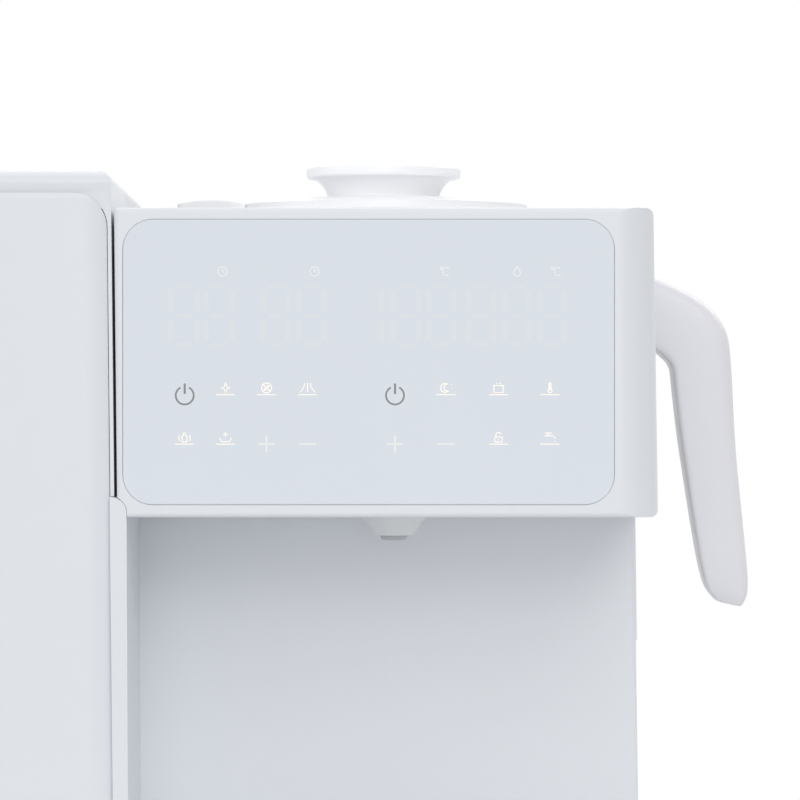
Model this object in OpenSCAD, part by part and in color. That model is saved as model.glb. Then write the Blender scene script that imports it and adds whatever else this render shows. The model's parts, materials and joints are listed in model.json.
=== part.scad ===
// Bottle steriliser cabinet joined to a kettle water dispenser.
// Millimetres, +Z up, front towards -Y, origin on the table under the middle of the whole part.

/* [Overall] */
// Height of the rubber feet
foot_h = 5; // [4:0.5:8]
// Height of the base pan's rim above the table
base_top = 30; // [28:1:36]
// Wall and floor of the base pan
base_wall = 2.5; // [2:0.1:3]
// Radius of the base pan's upright corners
base_r = 8; // [4:1:10]
// Gap between the steriliser cabinet and the dispenser head
unit_gap = 1.2; // [0.8:0.1:2]
// Space behind the kettle, to the rear face
rear_margin = 14; // [10:1:30]
// Clearance between pieces that are fitted together
fit = 0.2; // [0.1:0.05:0.3]

/* [Steriliser cabinet] */
// Width of the cabinet at the base pan
cab_w = 240; // [220:1:280]
// Height of the cabinet's top above the table
cab_h = 360; // [340:1:390]
// Lean of the cabinet's sides, in degrees
case_draft = 0.6; // [0.1:0.1:1]
// Wall of the cabinet case
case_wall = 2.5; // [2:0.1:3.2]
// Radius of the case's upper corners, seen from the front
case_r = 5; // [4:0.5:7]
// Radius of the case's top front and rear edges, seen from the side
case_edge_r = 5; // [4:0.5:8.5]
// How far the case's front rim stands behind the door's face
rim_setback = 2; // [1:0.5:4]
// Width of the case rim beside the door's free edge
rim_w = 1.5; // [1.2:0.1:2.4]
// Thickness of the rear cover
cover_t = 2.5; // [2:0.1:3.5]
// How far the case ends in front of the rear face
case_rear_inset = 2; // [1.8:0.1:4]

/* [Door] */
// Thickness of the door
door_t = 16; // [14:0.5:20]
// Wall of the door's skin
door_wall = 2.6; // [2:0.1:3.2]
// Gap round the door's edges
door_gap = 0.3; // [0.2:0.1:1]
// Gap between the door's back and the chamber's frame
door_back_gap = 1.2; // [0.8:0.1:2]
// Height of the case band above the door
case_band = 9.3; // [7.5:0.1:12]
// Radius of the door's corners on its free side
door_r = 13.5; // [8:0.5:18]
// Radius of the door's corners on its hinge side
door_hinge_r = 5; // [2:0.5:5]
// Width of the rounding along the door's free edge
door_roll = 11; // [6:0.5:12]
// Radius of that rounding, larger than its width, so that it ends in a slope
door_roll_r = 22; // [12:1:40]
// Radius of the door's rolled front edge beside the hinge
door_hinge_roll = 9; // [7:0.5:9]
// Radius of the door's rear edge beside the hinge
door_back_r = 6; // [5:0.5:6.5]
// Width of the solid stile on the door's hinge side
hinge_stile = 15; // [13:1:20]
// Distance of the hinge axis from the door's hinge edge, at the top
hinge_in = 4.4; // [3.8:0.1:4.6]
// Radius of the hinge pins
pin_r = 2; // [1.5:0.1:2.2]
// Running clearance round a hinge pin
pin_fit = 0.05; // [0.02:0.01:0.1]
// Depth of a hinge pin in the door
pin_hold = 12; // [8:1:20]
// Depth of a hinge pin in the case and base
pin_seat = 5; // [4:0.5:6]
// Width of the finger grip under the door's lower edge
grip_w = 70; // [50:1:90]
// Height of the finger grip behind the door's skin
grip_h = 9; // [6:0.5:14]
// Radius of the finger scoop in the base pan
scoop_r = 14; // [10:0.5:16]
// Width of the door seal
seal_w = 6; // [4:0.5:8]

/* [Chamber] */
// Space between the chamber and the outside of the case, on each side
chamber_side = 17; // [14:0.5:20]
// Height of the chamber's floor above the base pan's rim
chamber_lift = 14; // [10:1:20]
// Space over the chamber for the lamp
chamber_head = 26; // [22:1:34]
// Wall of the chamber liner
liner_wall = 1.5; // [1:0.1:2]
// Radius of the chamber's corners
liner_r = 12; // [8:1:16]
// Gap between a rack and the chamber's walls
rack_gap = 4; // [2:0.5:8]
// Thickness of a rack's floor
rack_t = 3; // [2:0.5:4]
// Height of a rack's rim
rack_rim = 4.5; // [4:0.5:12]
// Height of the lower rack's feet
rack_foot = 6; // [4:1:12]
// Height of the upper rack above the chamber's floor
upper_rack_lift = 158; // [140:1:180]
// Height of the bottle pegs
peg_h = 62; // [40:1:80]
// Radius of a bottle peg
peg_r = 3.5; // [2.5:0.1:5]
// Width of the lamp windows
window_w = 120; // [80:1:150]
// Depth of the lamp windows
window_d = 22; // [16:1:30]

/* [Air system] */
// Side of the square fan frame
fan_size = 92; // [70:1:100]
// Thickness of the fan frame
fan_t = 25; // [20:1:32]
// Wall of the air duct
duct_wall = 2; // [1.6:0.1:3]
// Thickness of the air heater
heater_t = 12; // [8:1:16]
// Thickness of the air filter
filter_t = 8; // [5:1:12]
// Space between the pieces in the duct
air_gap = 3; // [2:0.5:5]
// Number of fan blades
blade_n = 7; // [5:1:9]
// Radius of the fan's hub
hub_r = 18; // [16:0.5:20]
// Radius of the fan's axle
axle_r = 1.5; // [1:0.1:2]

/* [Dispenser head] */
// Width of the head at its underside
head_w = 217.5; // [200:0.5:240]
// Height of the head
head_h = 124; // [115:1:140]
// Depth of the head
head_d = 118; // [112:1:130]
// Lean of the dispenser's outer side, in degrees
head_draft = 0.85; // [0.1:0.05:1.2]
// Wall of the head shell
head_wall = 2.6; // [2:0.1:3]
// Thickness of the head's front round the glass
head_front_t = 5; // [4.6:0.1:7]
// Radius of the head's outer front upright edge
head_roll = 15; // [8:0.5:17]
// Radius of the head's corners, seen from the front
head_r = 3.5; // [2:0.5:5]
// Radius of the head's front edges, seen from the side
head_edge_r = 1.8; // [1:0.1:3]
// Width of the control glass
glass_w = 196.5; // [180:0.5:198]
// Height of the control glass
glass_h = 114; // [100:0.5:114]
// Thickness of the control glass
glass_t = 3; // [2:0.1:3.4]
// Radius of the glass corners
glass_r = 12; // [6:0.5:16]
// Distance of the glass from the head's inner side
glass_in = 2.4; // [2.3:0.1:3]
// Distance of the glass from the head's underside
glass_lift = 5.2; // [4.8:0.1:5.4]
// Gap round the glass
glass_gap = 0.25; // [0.15:0.05:0.4]
// Width of the ledge behind the glass
glass_ledge = 3.5; // [2.5:0.1:5]

/* [Dispensing bay] */
// Height of the bay, from its deck to the head's underside
bay_h = 191; // [170:1:210]
// Depth of the bay
bay_d = 103; // [95:1:106]
// Thickness of the bay's back panel
panel_t = 3; // [2.5:0.1:4]
// Thickness of the cheek beside the case, at the head's underside
cheek_w = 5; // [4:0.1:6]
// Height of the cheek's top above the head's underside
cheek_rise = 8.2; // [6:0.1:10]
// Lean of the cheek's inner face, in degrees
cheek_draft = 0.3; // [0.1:0.1:0.6]
// How far the column stands inside the head's outer side
col_inset = 3; // [2:0.1:5]
// How far the panel and plinth stand inside the column's side
col_step = 0.6; // [0.3:0.1:1]
// Wall of the column and plinth shells
col_wall = 2.2; // [2:0.1:2.8]
// Width of the drip tray
tray_w = 150; // [120:1:170]
// Depth of the drip tray
tray_d = 92; // [80:1:96]
// Wall of the drip tray
tray_wall = 3; // [2.8:0.1:3.4]
// Thickness of the drip grille
grille_t = 2.8; // [2:0.1:4]
// Gap round the drip tray
tray_gap = 0.5; // [0.3:0.1:0.8]
// Distance of the nozzle from the head's inner side
nozzle_in = 111.3; // [100:0.1:120]
// Distance of the nozzle from the front face
nozzle_back = 50; // [40:1:60]
// Radius of the nozzle at the head's underside
nozzle_r = 14; // [11:0.1:16]
// Radius of the nozzle's lower end
nozzle_end_r = 8.3; // [7:0.1:9]
// Height of the nozzle
nozzle_h = 8.6; // [6:0.1:12]
// Radius of the outlet tip
tip_r = 5.6; // [5:0.1:6.5]
// Height of the outlet tip below the nozzle
tip_h = 2; // [1.5:0.1:4]
// Radius of the water way
water_r = 2; // [1.6:0.1:2.2]
// Outer radius of the water hoses
hose_r = 4.2; // [4:0.1:4.5]

/* [Kettle] */
// Height of the plinth under the kettle
plinth_h = 136; // [125:1:145]
// Radius of the plinth's outer rear corner
plinth_r = 10; // [8:1:12]
// Gap between the head and the kettle
kettle_gap = 5; // [3:0.5:10]
// Distance of the kettle's axis from the head's inner side
kettle_in = 108.4; // [100:0.1:115]
// Radius of the kettle's base
kettle_r = 74; // [70:0.5:80]
// Height of the kettle's base
kettle_base_h = 18; // [16:1:24]
// Radius of the jug's foot
jug_r = 72; // [68:0.5:73]
// Radius of the jug's mouth
jug_top_r = 66.5; // [65:0.5:68]
// Height of the jug
jug_h = 148; // [140:1:156]
// Wall of the jug
jug_wall = 3; // [2.5:0.1:4]
// Height of the collar's skirt on the jug
collar_skirt = 34; // [28:1:40]
// Height of the collar above the jug's mouth
collar_h = 16.2; // [14:0.1:20]
// Outer radius of the collar
collar_r = 71; // [70.5:0.5:74]
// Radius of the mouth in the collar
mouth_r = 60; // [56:0.5:61]
// Reach of the spout from the kettle's axis
spout_reach = 92; // [84:0.5:96]
// Height of the spout's top above the collar
spout_rise = 6; // [4:0.1:9]
// Radius of the lid
lid_r = 64; // [63:0.5:66]
// Crown radius of the lid
lid_crown = 460; // [300:10:900]
// Height of the lid's crown above the collar
lid_h = 8.2; // [6:0.1:10]
// Depth of the lid's plug
plug_h = 8; // [6:0.5:10]
// Radius of the knob's flange
knob_r = 34.4; // [32:0.1:38]
// Radius of the knob's neck
knob_neck_r = 24.9; // [20:0.1:26]
// Radius of the flare under the knob's flange
knob_flare = 13; // [11:0.5:16]
// Height of the flange's underside above the lid
knob_rise = 7.6; // [5:0.1:8.5]
// Crown of the knob's top
knob_crown = 2.2; // [0.5:0.1:4]
// Thickness of the knob's flange
knob_t = 4.7; // [3:0.1:6]
// Reach of the handle from the kettle's axis
handle_reach = 162.3; // [155:0.1:170]
// Thickness of the handle from side to side
handle_t = 25; // [18:0.5:30]
// Squareness of the handle's inner edge and of its outer edge, where 2 is round
grip_square = 9; // [4:0.5:12]
grip_soft = 4.2; // [2.5:0.1:6]
// Height of the handle from its top to its lower end
handle_drop = 162; // [140:1:170]
// Height of the handle's top above the collar's skirt
arm_rise = 36; // [33:1:40]

/* [Hidden] */
$fn = 64;

// Overlap of a cut past the face it opens
over = 1;

// Heights
floor_z = foot_h + base_wall;
head_z0 = base_top + bay_h;
head_z1 = head_z0 + head_h;
plinth_top = base_top + plinth_h;
door_z0 = base_top + door_gap;
door_z1 = cab_h - case_band;
cheek_top = head_z0 + cheek_rise;

// Depths
depth = head_d + kettle_gap + 2 * kettle_r + rear_margin;
y_front = -depth / 2;
y_rear = depth / 2;
case_y0 = y_front + rim_setback;
case_y1 = y_rear - case_rear_inset;
case_front = y_front + door_t + door_back_gap;
kettle_y = y_front + head_d + kettle_gap + kettle_r;
bay_y1 = y_front + bay_d;
col_y0 = bay_y1 + panel_t;
head_y1 = y_front + head_d;

// Places across the front
case_lean = bay_h * tan(case_draft);
total_w = cab_w - case_lean + unit_gap + kettle_in + handle_reach;
cab_x0 = -total_w / 2;
cab_x1 = cab_x0 + cab_w;
cab_cx = (cab_x0 + cab_x1) / 2;
head_x0 = cab_x1 - case_lean + unit_gap;
head_x1 = head_x0 + head_w;
nozzle_x = head_x0 + nozzle_in;
nozzle_y = y_front + nozzle_back;
kettle_x = head_x0 + kettle_in;
plinth_x0 = cab_x1 + fit;
base_x1 = col_side(base_top) - col_step;

// Half width of the case, its right side and the dispenser's right side at a height
function case_half(z) = cab_w / 2 - (z - base_top) * tan(case_draft);
function case_right(z) = cab_cx + case_half(z);
function disp_right(z) = head_x1 + (head_z0 - z) * tan(head_draft);
function col_side(z) = disp_right(z) - col_inset;
function cheek_face(z) = case_right(head_z0) + cheek_w + (head_z0 - z) * tan(cheek_draft);

// Door edges and hinge axis
door_hinge_inset = door_gap;
function door_left(z) = cab_cx - case_half(z) + door_hinge_inset;
function door_right(z) = case_right(z) - rim_w - door_gap;
hinge_x = door_left(door_z1) + hinge_in;
hinge_y = y_front + door_t / 2;
grip_x = door_right(door_z0) - door_roll - grip_w / 2 - 20;
grip_wall = 3;
door_inner_t = 2.5;
door_inner_y1 = y_front + door_t;

// Length of the air duct, from the chamber's back to the rear cover
air_stack = air_gap + heater_t + air_gap + fan_t + air_gap + filter_t;

// Chamber
chamber_w = cab_w - 2 * chamber_side;
chamber_z0 = base_top + chamber_lift;
chamber_z1 = cab_h - chamber_head;
chamber_y1 = case_y1 - cover_t - air_stack - liner_wall;
chamber_d = chamber_y1 - case_front;
flange_t = 2;
rail_w = 5;
rail_t = 3;
window_t = 2;
board_t = 1.6;
rear_lamp_rise = 62;
window_rear_z = chamber_z0 + upper_rack_lift + rear_lamp_rise;

// Places in the air duct
air_z = chamber_z0 + upper_rack_lift / 2 + 10;
air_y0 = chamber_y1 + liner_wall;
heater_y = air_y0 + air_gap;
fan_y = heater_y + heater_t + air_gap;
filter_y = fan_y + fan_t + air_gap;
fan_bore = fan_size / 2 - 2.5;
motor_r = hub_r - 3;
motor_t = 10;

// Radius of the stems that hold the hoses
stem_r = water_r + 0.8;

// Control glass
glass_x0 = head_x0 + glass_in;
glass_z0 = head_z0 + glass_lift;

// Kettle heights
seat_h = 2;
kettle_lift = 0.3;
kettle_z0 = plinth_top + seat_h + kettle_lift;
jug_z0 = kettle_z0 + kettle_base_h;
jug_z1 = jug_z0 + jug_h;
collar_z0 = jug_z1 - collar_skirt;
collar_z1 = jug_z1 + collar_h;
lid_z0 = collar_z1 + kettle_lift;
lid_top = lid_z0 + lid_h;
knob_seat = 0.8;
knob_z0 = lid_top - knob_seat;
socket_r = 14;
post_r = 8.5;
valve_off = 38;
valve_r = 10;
nipple_r = 6;
plate_t = 1.5;
function jug_at(z) = jug_r + (jug_top_r - jug_r) * (z - jug_z0) / jug_h;

// Two small vector helpers
function unit(v) = v / norm(v);
function turn(v, a) = [v[0] * cos(a) - v[1] * sin(a), v[0] * sin(a) + v[1] * cos(a)];

// First tangent point, second tangent point and arc centre of a rounded corner
function corner(pts, rs, i) =
    let (n = len(pts), p = pts[i], a = unit(pts[(i + n - 1) % n] - p), b = unit(pts[(i + 1) % n] - p),
         half = acos(a * b) / 2, back = rs[i] / tan(half))
    [p + a * back, p + b * back, p + unit(a + b) * rs[i] / sin(half)];

// Convex outline with its own radius at each corner
module rounded(pts, rs) {
    polygon([for (i = [0:len(pts) - 1])
        each rs[i] > 0 ? [corner(pts, rs, i)[0], corner(pts, rs, i)[1]] : [pts[i]]]);
    for (i = [0:len(pts) - 1])
        if (rs[i] > 0) translate(corner(pts, rs, i)[2]) circle(rs[i]);
}

// Rounded rectangle between two corners
module rect(lo, hi, r = 0) {
    rounded([lo, [hi[0], lo[1]], hi, [lo[0], hi[1]]], [r, r, r, r]);
}

// Box between two corners
module block(lo, hi) { translate(lo) cube(hi - lo); }

// Outlines carried along an axis: front view along Y, side view along X, plan along Z
module along_y(a, b) { translate([0, b, 0]) rotate([90, 0, 0]) linear_extrude(b - a) children(); }
module along_x(a, b) { translate([a, 0, 0]) rotate([90, 0, 90]) linear_extrude(b - a) children(); }
module along_z(a, b) { translate([0, 0, a]) linear_extrude(b - a) children(); }
module turned_y(p, r, len) { translate(p) rotate([-90, 0, 0]) cylinder(r = r, h = len); }

// Cutter that rounds an upright edge leaning by an angle: sx +1 right or -1 left, sy -1 front or +1 rear
module edge_roll(p, r, h, lean, sx, sy = -1) {
    translate(p) rotate([0, -sx * lean, 0]) mirror([sx < 0 ? 1 : 0, 0, 0]) mirror([0, sy > 0 ? 1 : 0, 0])
        translate([-r, 0, -over]) difference() {
            translate([0, -over, 0]) cube([r + over, r + over, h + 2 * over]);
            translate([0, r, -over]) cylinder(r = r, h = h + 4 * over);
        }
}

// Front outline of the case, drawn in by an inset
module case_outline(inset, z0, z1, r) {
    rounded([[cab_cx - case_half(z0) + inset, z0], [case_right(z0) - inset, z0],
             [case_right(z1) - inset, z1], [cab_cx - case_half(z1) + inset, z1]], [0, 0, r, r]);
}

// Front outline of the door, with separate insets for the hinge side and the other edges
module door_outline(left, inset) {
    z0 = door_z0 + inset;
    z1 = door_z1 - inset;
    rl = max(door_hinge_r - left, 0.5);
    rr = max(door_r - inset, 1);
    rounded([[door_left(z0) + left, z0], [door_right(z0) - inset, z0],
             [door_right(z1) - inset, z1], [door_left(z1) + left, z1]], [rl, rl, rr, rl]);
}

// Door body with rolled upright edges, drawn in by an inset
module door_body(left, inset, y1) {
    difference() {
        along_y(y_front + inset, y1) door_outline(left, inset);
        edge_roll([door_right(door_z0) - inset + door_roll_r - door_roll, y_front + inset, door_z0],
                  door_roll_r - inset, door_z1 - door_z0, case_draft, 1);
        if (left == 0)
            edge_roll([door_left(door_z0), y_front, door_z0], door_hinge_roll, door_z1 - door_z0, case_draft, -1);
    }
}

// Stiffened block round the finger grip at the door's lower edge
module grip_block(grow) {
    block([grip_x - grip_w / 2 - grip_wall - grow, y_front + door_wall - grow, door_z0 - grow],
          [grip_x + grip_w / 2 + grip_wall + grow, y_front + door_t + grow, door_z0 + grip_h + grip_wall + grow]);
}

module cabinet_case() {
    color("whitesmoke") {
        difference() {
            intersection() {
                along_y(case_y0, case_y1) case_outline(0, base_top, cab_h, case_r);
                along_x(cab_x0 - over, cab_x1 + over)
                    rounded([[case_y0, base_top], [case_y1, base_top], [case_y1, cab_h], [case_y0, cab_h]],
                            [0, 0, case_edge_r, case_edge_r]);
            }
            along_y(case_y0 - over, case_front) {
                rounded([[cab_cx, base_top - over], [door_right(base_top - over) + door_gap, base_top - over],
                         [door_right(door_z1 + door_gap) + door_gap, door_z1 + door_gap],
                         [cab_cx, door_z1 + door_gap]], [0, 0, door_r + door_gap, 0]);
                rect([cab_x0 - over, base_top - over], [cab_cx + over, door_z1 + door_gap]);
            }
            along_y(case_front - 0.01, case_y1 + over)
                case_outline(case_wall, base_top - over, cab_h - case_wall, case_r - case_wall);
            block([case_right(cheek_top) - case_wall - rim_w, case_y0 - over, base_top - over],
                  [cab_x1 + over, case_front, cheek_top + fit]);
            translate([hinge_x, hinge_y, door_z1]) cylinder(r = pin_r + pin_fit, h = door_gap + pin_seat + fit);
        }
        rear_bosses();
    }
}

// Screw bosses in the case's rear corners, in front of the rear cover
boss = 10;
boss_d = 14;
screw_r = 1.6;
screw_z = [base_top + 14, cab_h - case_wall - boss / 2 - 4];
function screw_x(z, s) = cab_cx + s * (case_half(z) - case_wall - boss / 2);
module rear_bosses() {
    for (z = screw_z, s = [-1, 1])
        difference() {
            intersection() {
                block([screw_x(z, s) - boss, case_y1 - cover_t - boss_d, z - boss / 2],
                      [screw_x(z, s) + boss, case_y1 - cover_t, z + boss / 2]);
                union() {
                    block([screw_x(z, s) - boss / 2, case_y0, z - boss],
                          [screw_x(z, s) + boss / 2, case_y1, z + boss]);
                    along_y(case_y0, case_y1) intersection() {
                        case_outline(case_wall - 0.1, base_top, cab_h - case_wall, 0);
                        translate([screw_x(z, s) + (s > 0 ? 0 : -boss), z - boss]) square([boss, 2 * boss]);
                    }
                }
            }
            turned_y([screw_x(z, s), case_y0, z], screw_r, depth);
        }
}

module rear_screws() {
    color("silver")
        for (z = screw_z, s = [-1, 1]) {
            turned_y([screw_x(z, s), case_y1 - cover_t - boss_d + 2, z], screw_r - 0.1, boss_d + cover_t - 2);
            turned_y([screw_x(z, s), case_y1, z], 2 * screw_r, 1.6);
        }
}

module rear_cover() {
    slot_n = 9;
    slot_pitch = 8;
    color("gainsboro")
        difference() {
            along_y(case_y1 - cover_t, case_y1)
                case_outline(case_wall + fit, base_top + fit, cab_h - case_wall - fit, case_r - case_wall);
            block([cab_cx - fan_size / 2 - fit, case_y1 - cover_t - over, air_z - fan_size / 2 - fit],
                  [cab_cx + fan_size / 2 + fit, case_y1 + over, air_z + fan_size / 2 + fit]);
            for (z = screw_z, s = [-1, 1])
                turned_y([screw_x(z, s), case_y1 - cover_t - over, z], screw_r + 0.1, cover_t + 2 * over);
            for (i = [0:slot_n - 1])
                along_y(case_y1 - cover_t - over, case_y1 + over)
                    rect([cab_cx - 45, chamber_z1 - 20 - i * slot_pitch],
                        [cab_cx + 45, chamber_z1 - 16.5 - i * slot_pitch], 1.7);
        }
}

// Front outline of the chamber, grown or drawn in
module chamber_outline(grow) {
    rect([cab_cx - chamber_w / 2 - grow, chamber_z0 - grow], [cab_cx + chamber_w / 2 + grow, chamber_z1 + grow],
         liner_r + grow);
}

// Air slots in the chamber's back wall
module air_slots() {
    n = 7;
    pitch = fan_size / (n + 1);
    for (i = [0:n - 1])
        rect([cab_cx - fan_size / 2 + 8, air_z + (i - (n - 1) / 2) * pitch - 2.5],
             [cab_cx + fan_size / 2 - 8, air_z + (i - (n - 1) / 2) * pitch + 2.5], 2.4);
}

module chamber_liner() {
    window_mid = (case_front + chamber_y1) / 2;
    color("lightgray") {
        difference() {
            union() {
                along_y(case_front, case_front + flange_t)
                    case_outline(case_wall + fit, base_top + fit, cab_h - case_wall - fit, case_r - case_wall);
                along_y(case_front, chamber_y1 + liner_wall) chamber_outline(liner_wall);
            }
            along_y(case_front - over, chamber_y1) chamber_outline(0);
            along_y(chamber_y1 - over, chamber_y1 + 2 * liner_wall) air_slots();
            block([cab_cx - window_w / 2, window_mid - window_d / 2, chamber_z1 - over],
                  [cab_cx + window_w / 2, window_mid + window_d / 2, chamber_z1 + 2 * liner_wall]);
            block([cab_cx - window_w / 2, chamber_y1 - over, window_rear_z - window_d / 2],
                  [cab_cx + window_w / 2, chamber_y1 + 2 * liner_wall, window_rear_z + window_d / 2]);
        }
        for (s = [-1, 1])
            block([cab_cx + s * chamber_w / 2 - (s > 0 ? rail_w : 0), case_front + 12, upper_z() - rail_t - fit],
                  [cab_cx + s * chamber_w / 2 + (s > 0 ? 0 : rail_w), chamber_y1, upper_z() - fit]);
    }
}

module door_panel() {
    color("whitesmoke")
        difference() {
            union() {
                difference() {
                    door_body(0, 0, y_front + door_t);
                    door_body(hinge_stile, door_wall, y_front + door_t + over);
                }
                grip_block(0);
            }
            block([grip_x - grip_w / 2, y_front + door_wall + grip_wall, door_z0 - over],
                  [grip_x + grip_w / 2, y_front + door_t + over, door_z0 + grip_h]);
            edge_roll([door_left(door_z0), y_front + door_t, door_z0], door_back_r,
                door_z1 - door_z0, case_draft, -1, 1);
            for (z = [door_z0 - over, door_z1 - pin_hold])
                translate([hinge_x, hinge_y, z]) cylinder(r = pin_r + pin_fit, h = pin_hold + over);
        }
}

module door_inner() {
    rib = 1.2;
    color("white")
        difference() {
            along_y(door_inner_y1 - door_inner_t, door_inner_y1)
                door_outline(hinge_stile + fit, door_wall + fit);
            grip_block(fit);
            along_y(door_inner_y1 - rib, door_inner_y1 + over) chamber_outline(-20);
        }
}

module door_seal() {
    color("lightgray")
        along_y(door_inner_y1, case_front - fit)
            difference() {
                chamber_outline(2 + seal_w / 2);
                chamber_outline(2 - seal_w / 2);
            }
}

module hinge_pins() {
    color("silver") {
        translate([hinge_x, hinge_y, door_z0 + pin_hold - fit]) mirror([0, 0, 1])
            cylinder(r = pin_r, h = pin_hold - fit + door_gap + pin_seat);
        translate([hinge_x, hinge_y, door_z1 - pin_hold + fit])
            cylinder(r = pin_r, h = pin_hold - fit + door_gap + pin_seat);
    }
}

// Magnets in the door's free side and the steel plates that they hold on to
magnet_r = 4;
magnet_t = 3;
catch_w = 6;
magnet_x = cab_cx + chamber_w / 2 + liner_wall + fit + catch_w / 2;
magnet_in = 60;
magnet_z = [door_z0 + magnet_in, door_z1 - magnet_in];
module door_magnets() {
    color("dimgray")
        for (z = magnet_z) turned_y([magnet_x, door_inner_y1 - door_inner_t - magnet_t, z], magnet_r, magnet_t);
}
module catch_plates() {
    color("silver")
        for (z = magnet_z)
            block([magnet_x - catch_w / 2, case_front + flange_t, z - 2 * catch_w],
                  [magnet_x + catch_w / 2, case_front + flange_t + 1.2, z + 2 * catch_w]);
}

// Lamp board behind a window: a strip with a row of lamps on the side that faces the window
lamp_n = 6;
module uv_board_top() {
    y = (case_front + chamber_y1) / 2;
    z = chamber_z1 + liner_wall + window_t + 2;
    color("seagreen") {
        block([cab_cx - window_w / 2 - 6, y - window_d / 2 - 4, z],
            [cab_cx + window_w / 2 + 6, y + window_d / 2 + 4, z + board_t]);
        for (i = [0:lamp_n - 1])
            translate([cab_cx + (i - (lamp_n - 1) / 2) * window_w / lamp_n, y, z - 1.2]) cylinder(r = 3, h = 1.3);
        for (s = [-1, 1])
            block([cab_cx + s * (window_w / 2 + 5) - 1, y - window_d / 2 - 4, chamber_z1 + liner_wall],
                  [cab_cx + s * (window_w / 2 + 5) + 1, y + window_d / 2 + 4, z]);
    }
}
module uv_window_top() {
    y = (case_front + chamber_y1) / 2;
    color("lavender", 0.5) {
        block([cab_cx - window_w / 2 + fit, y - window_d / 2 + fit, chamber_z1],
              [cab_cx + window_w / 2 - fit, y + window_d / 2 - fit, chamber_z1 + liner_wall + 0.1]);
        block([cab_cx - window_w / 2 - 3, y - window_d / 2 - 3, chamber_z1 + liner_wall],
              [cab_cx + window_w / 2 + 3, y + window_d / 2 + 3, chamber_z1 + liner_wall + window_t - 0.5]);
    }
}
module uv_board_rear() {
    y = chamber_y1 + liner_wall + window_t + 2;
    z = window_rear_z;
    color("seagreen") {
        block([cab_cx - window_w / 2 - 6, y, z - window_d / 2 - 4],
            [cab_cx + window_w / 2 + 6, y + board_t, z + window_d / 2 + 4]);
        for (i = [0:lamp_n - 1])
            turned_y([cab_cx + (i - (lamp_n - 1) / 2) * window_w / lamp_n, y - 1.2, z], 3, 1.3);
        for (s = [-1, 1])
            block([cab_cx + s * (window_w / 2 + 5) - 1, chamber_y1 + liner_wall, z - window_d / 2 - 4],
                  [cab_cx + s * (window_w / 2 + 5) + 1, y, z + window_d / 2 + 4]);
    }
}
module uv_window_rear() {
    z = window_rear_z;
    color("lavender", 0.5) {
        block([cab_cx - window_w / 2 + fit, chamber_y1, z - window_d / 2 + fit],
              [cab_cx + window_w / 2 - fit, chamber_y1 + liner_wall + 0.1, z + window_d / 2 - fit]);
        block([cab_cx - window_w / 2 - 3, chamber_y1 + liner_wall, z - window_d / 2 - 3],
              [cab_cx + window_w / 2 + 3, chamber_y1 + liner_wall + window_t - 0.5, z + window_d / 2 + 3]);
    }
}

// Slotted rack: floor with two rows of slots, and a rim
function upper_z() = chamber_z0 + upper_rack_lift;
rack_w = chamber_w - 2 * rack_gap;
rack_y0 = case_front + 8;
rack_y1 = chamber_y1 - rack_gap;
module rack(z) {
    wall = 2;
    n = 9;
    pitch = (rack_w - 24) / n;
    mid = (rack_y0 + rack_y1) / 2;
    difference() {
        along_z(z, z + rack_rim) rect([cab_cx - rack_w / 2, rack_y0], [cab_cx + rack_w / 2, rack_y1], 10);
        along_z(z + rack_t, z + rack_rim + over)
            rect([cab_cx - rack_w / 2 + wall, rack_y0 + wall],
                [cab_cx + rack_w / 2 - wall, rack_y1 - wall], 10 - wall);
        along_z(z - over, z + rack_t + over)
            for (i = [0:n - 1], s = [0, 1])
                rect([cab_cx + (i - (n - 1) / 2) * pitch - pitch / 3, s == 0 ? rack_y0 + 12 : mid + 6],
                     [cab_cx + (i - (n - 1) / 2) * pitch + pitch / 3, s == 0 ? mid - 6 : rack_y1 - 12],
                         pitch / 3.2);
    }
}

module lower_rack() {
    z = chamber_z0 + rack_foot;
    n = 9;
    pitch = (rack_w - 24) / n;
    mid = (rack_y0 + rack_y1) / 2;
    color("white") {
        rack(z);
        for (i = [-3, -1, 1, 3], y = [mid, rack_y0 + 7, rack_y1 - 7])
            translate([cab_cx + i * pitch, y, z + rack_t - 0.5]) {
                cylinder(r1 = peg_r + 1, r2 = peg_r, h = peg_h);
                translate([0, 0, peg_h]) sphere(peg_r);
            }
        for (sx = [-1, 1], y = [rack_y0 + 12, rack_y1 - 12])
            translate([cab_cx + sx * (rack_w / 2 - liner_r - 1), y, chamber_z0 + fit / 2])
                cylinder(r1 = 4, r2 = 5, h = rack_foot + 1);
    }
}

module upper_rack() { color("white") rack(upper_z()); }

module air_duct() {
    inner = fan_size / 2 + fit;
    color("gainsboro")
        along_y(air_y0, case_y1 - cover_t)
            difference() {
                rect([cab_cx - inner - duct_wall, air_z - inner - duct_wall],
                    [cab_cx + inner + duct_wall, air_z + inner + duct_wall]);
                rect([cab_cx - inner, air_z - inner], [cab_cx + inner, air_z + inner]);
            }
}

module air_heater() {
    fin_n = 11;
    rim = 6;
    pitch = (fan_size - 2 * rim) / fin_n;
    color("darkgray")
        along_y(heater_y, heater_y + heater_t)
            difference() {
                rect([cab_cx - fan_size / 2, air_z - fan_size / 2], [cab_cx + fan_size / 2, air_z + fan_size / 2]);
                for (i = [0:fin_n - 1])
                    translate([cab_cx - fan_size / 2 + rim + (i + 0.2) * pitch, air_z - fan_size / 2 + rim])
                        square([0.6 * pitch, fan_size - 2 * rim]);
            }
}

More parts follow.
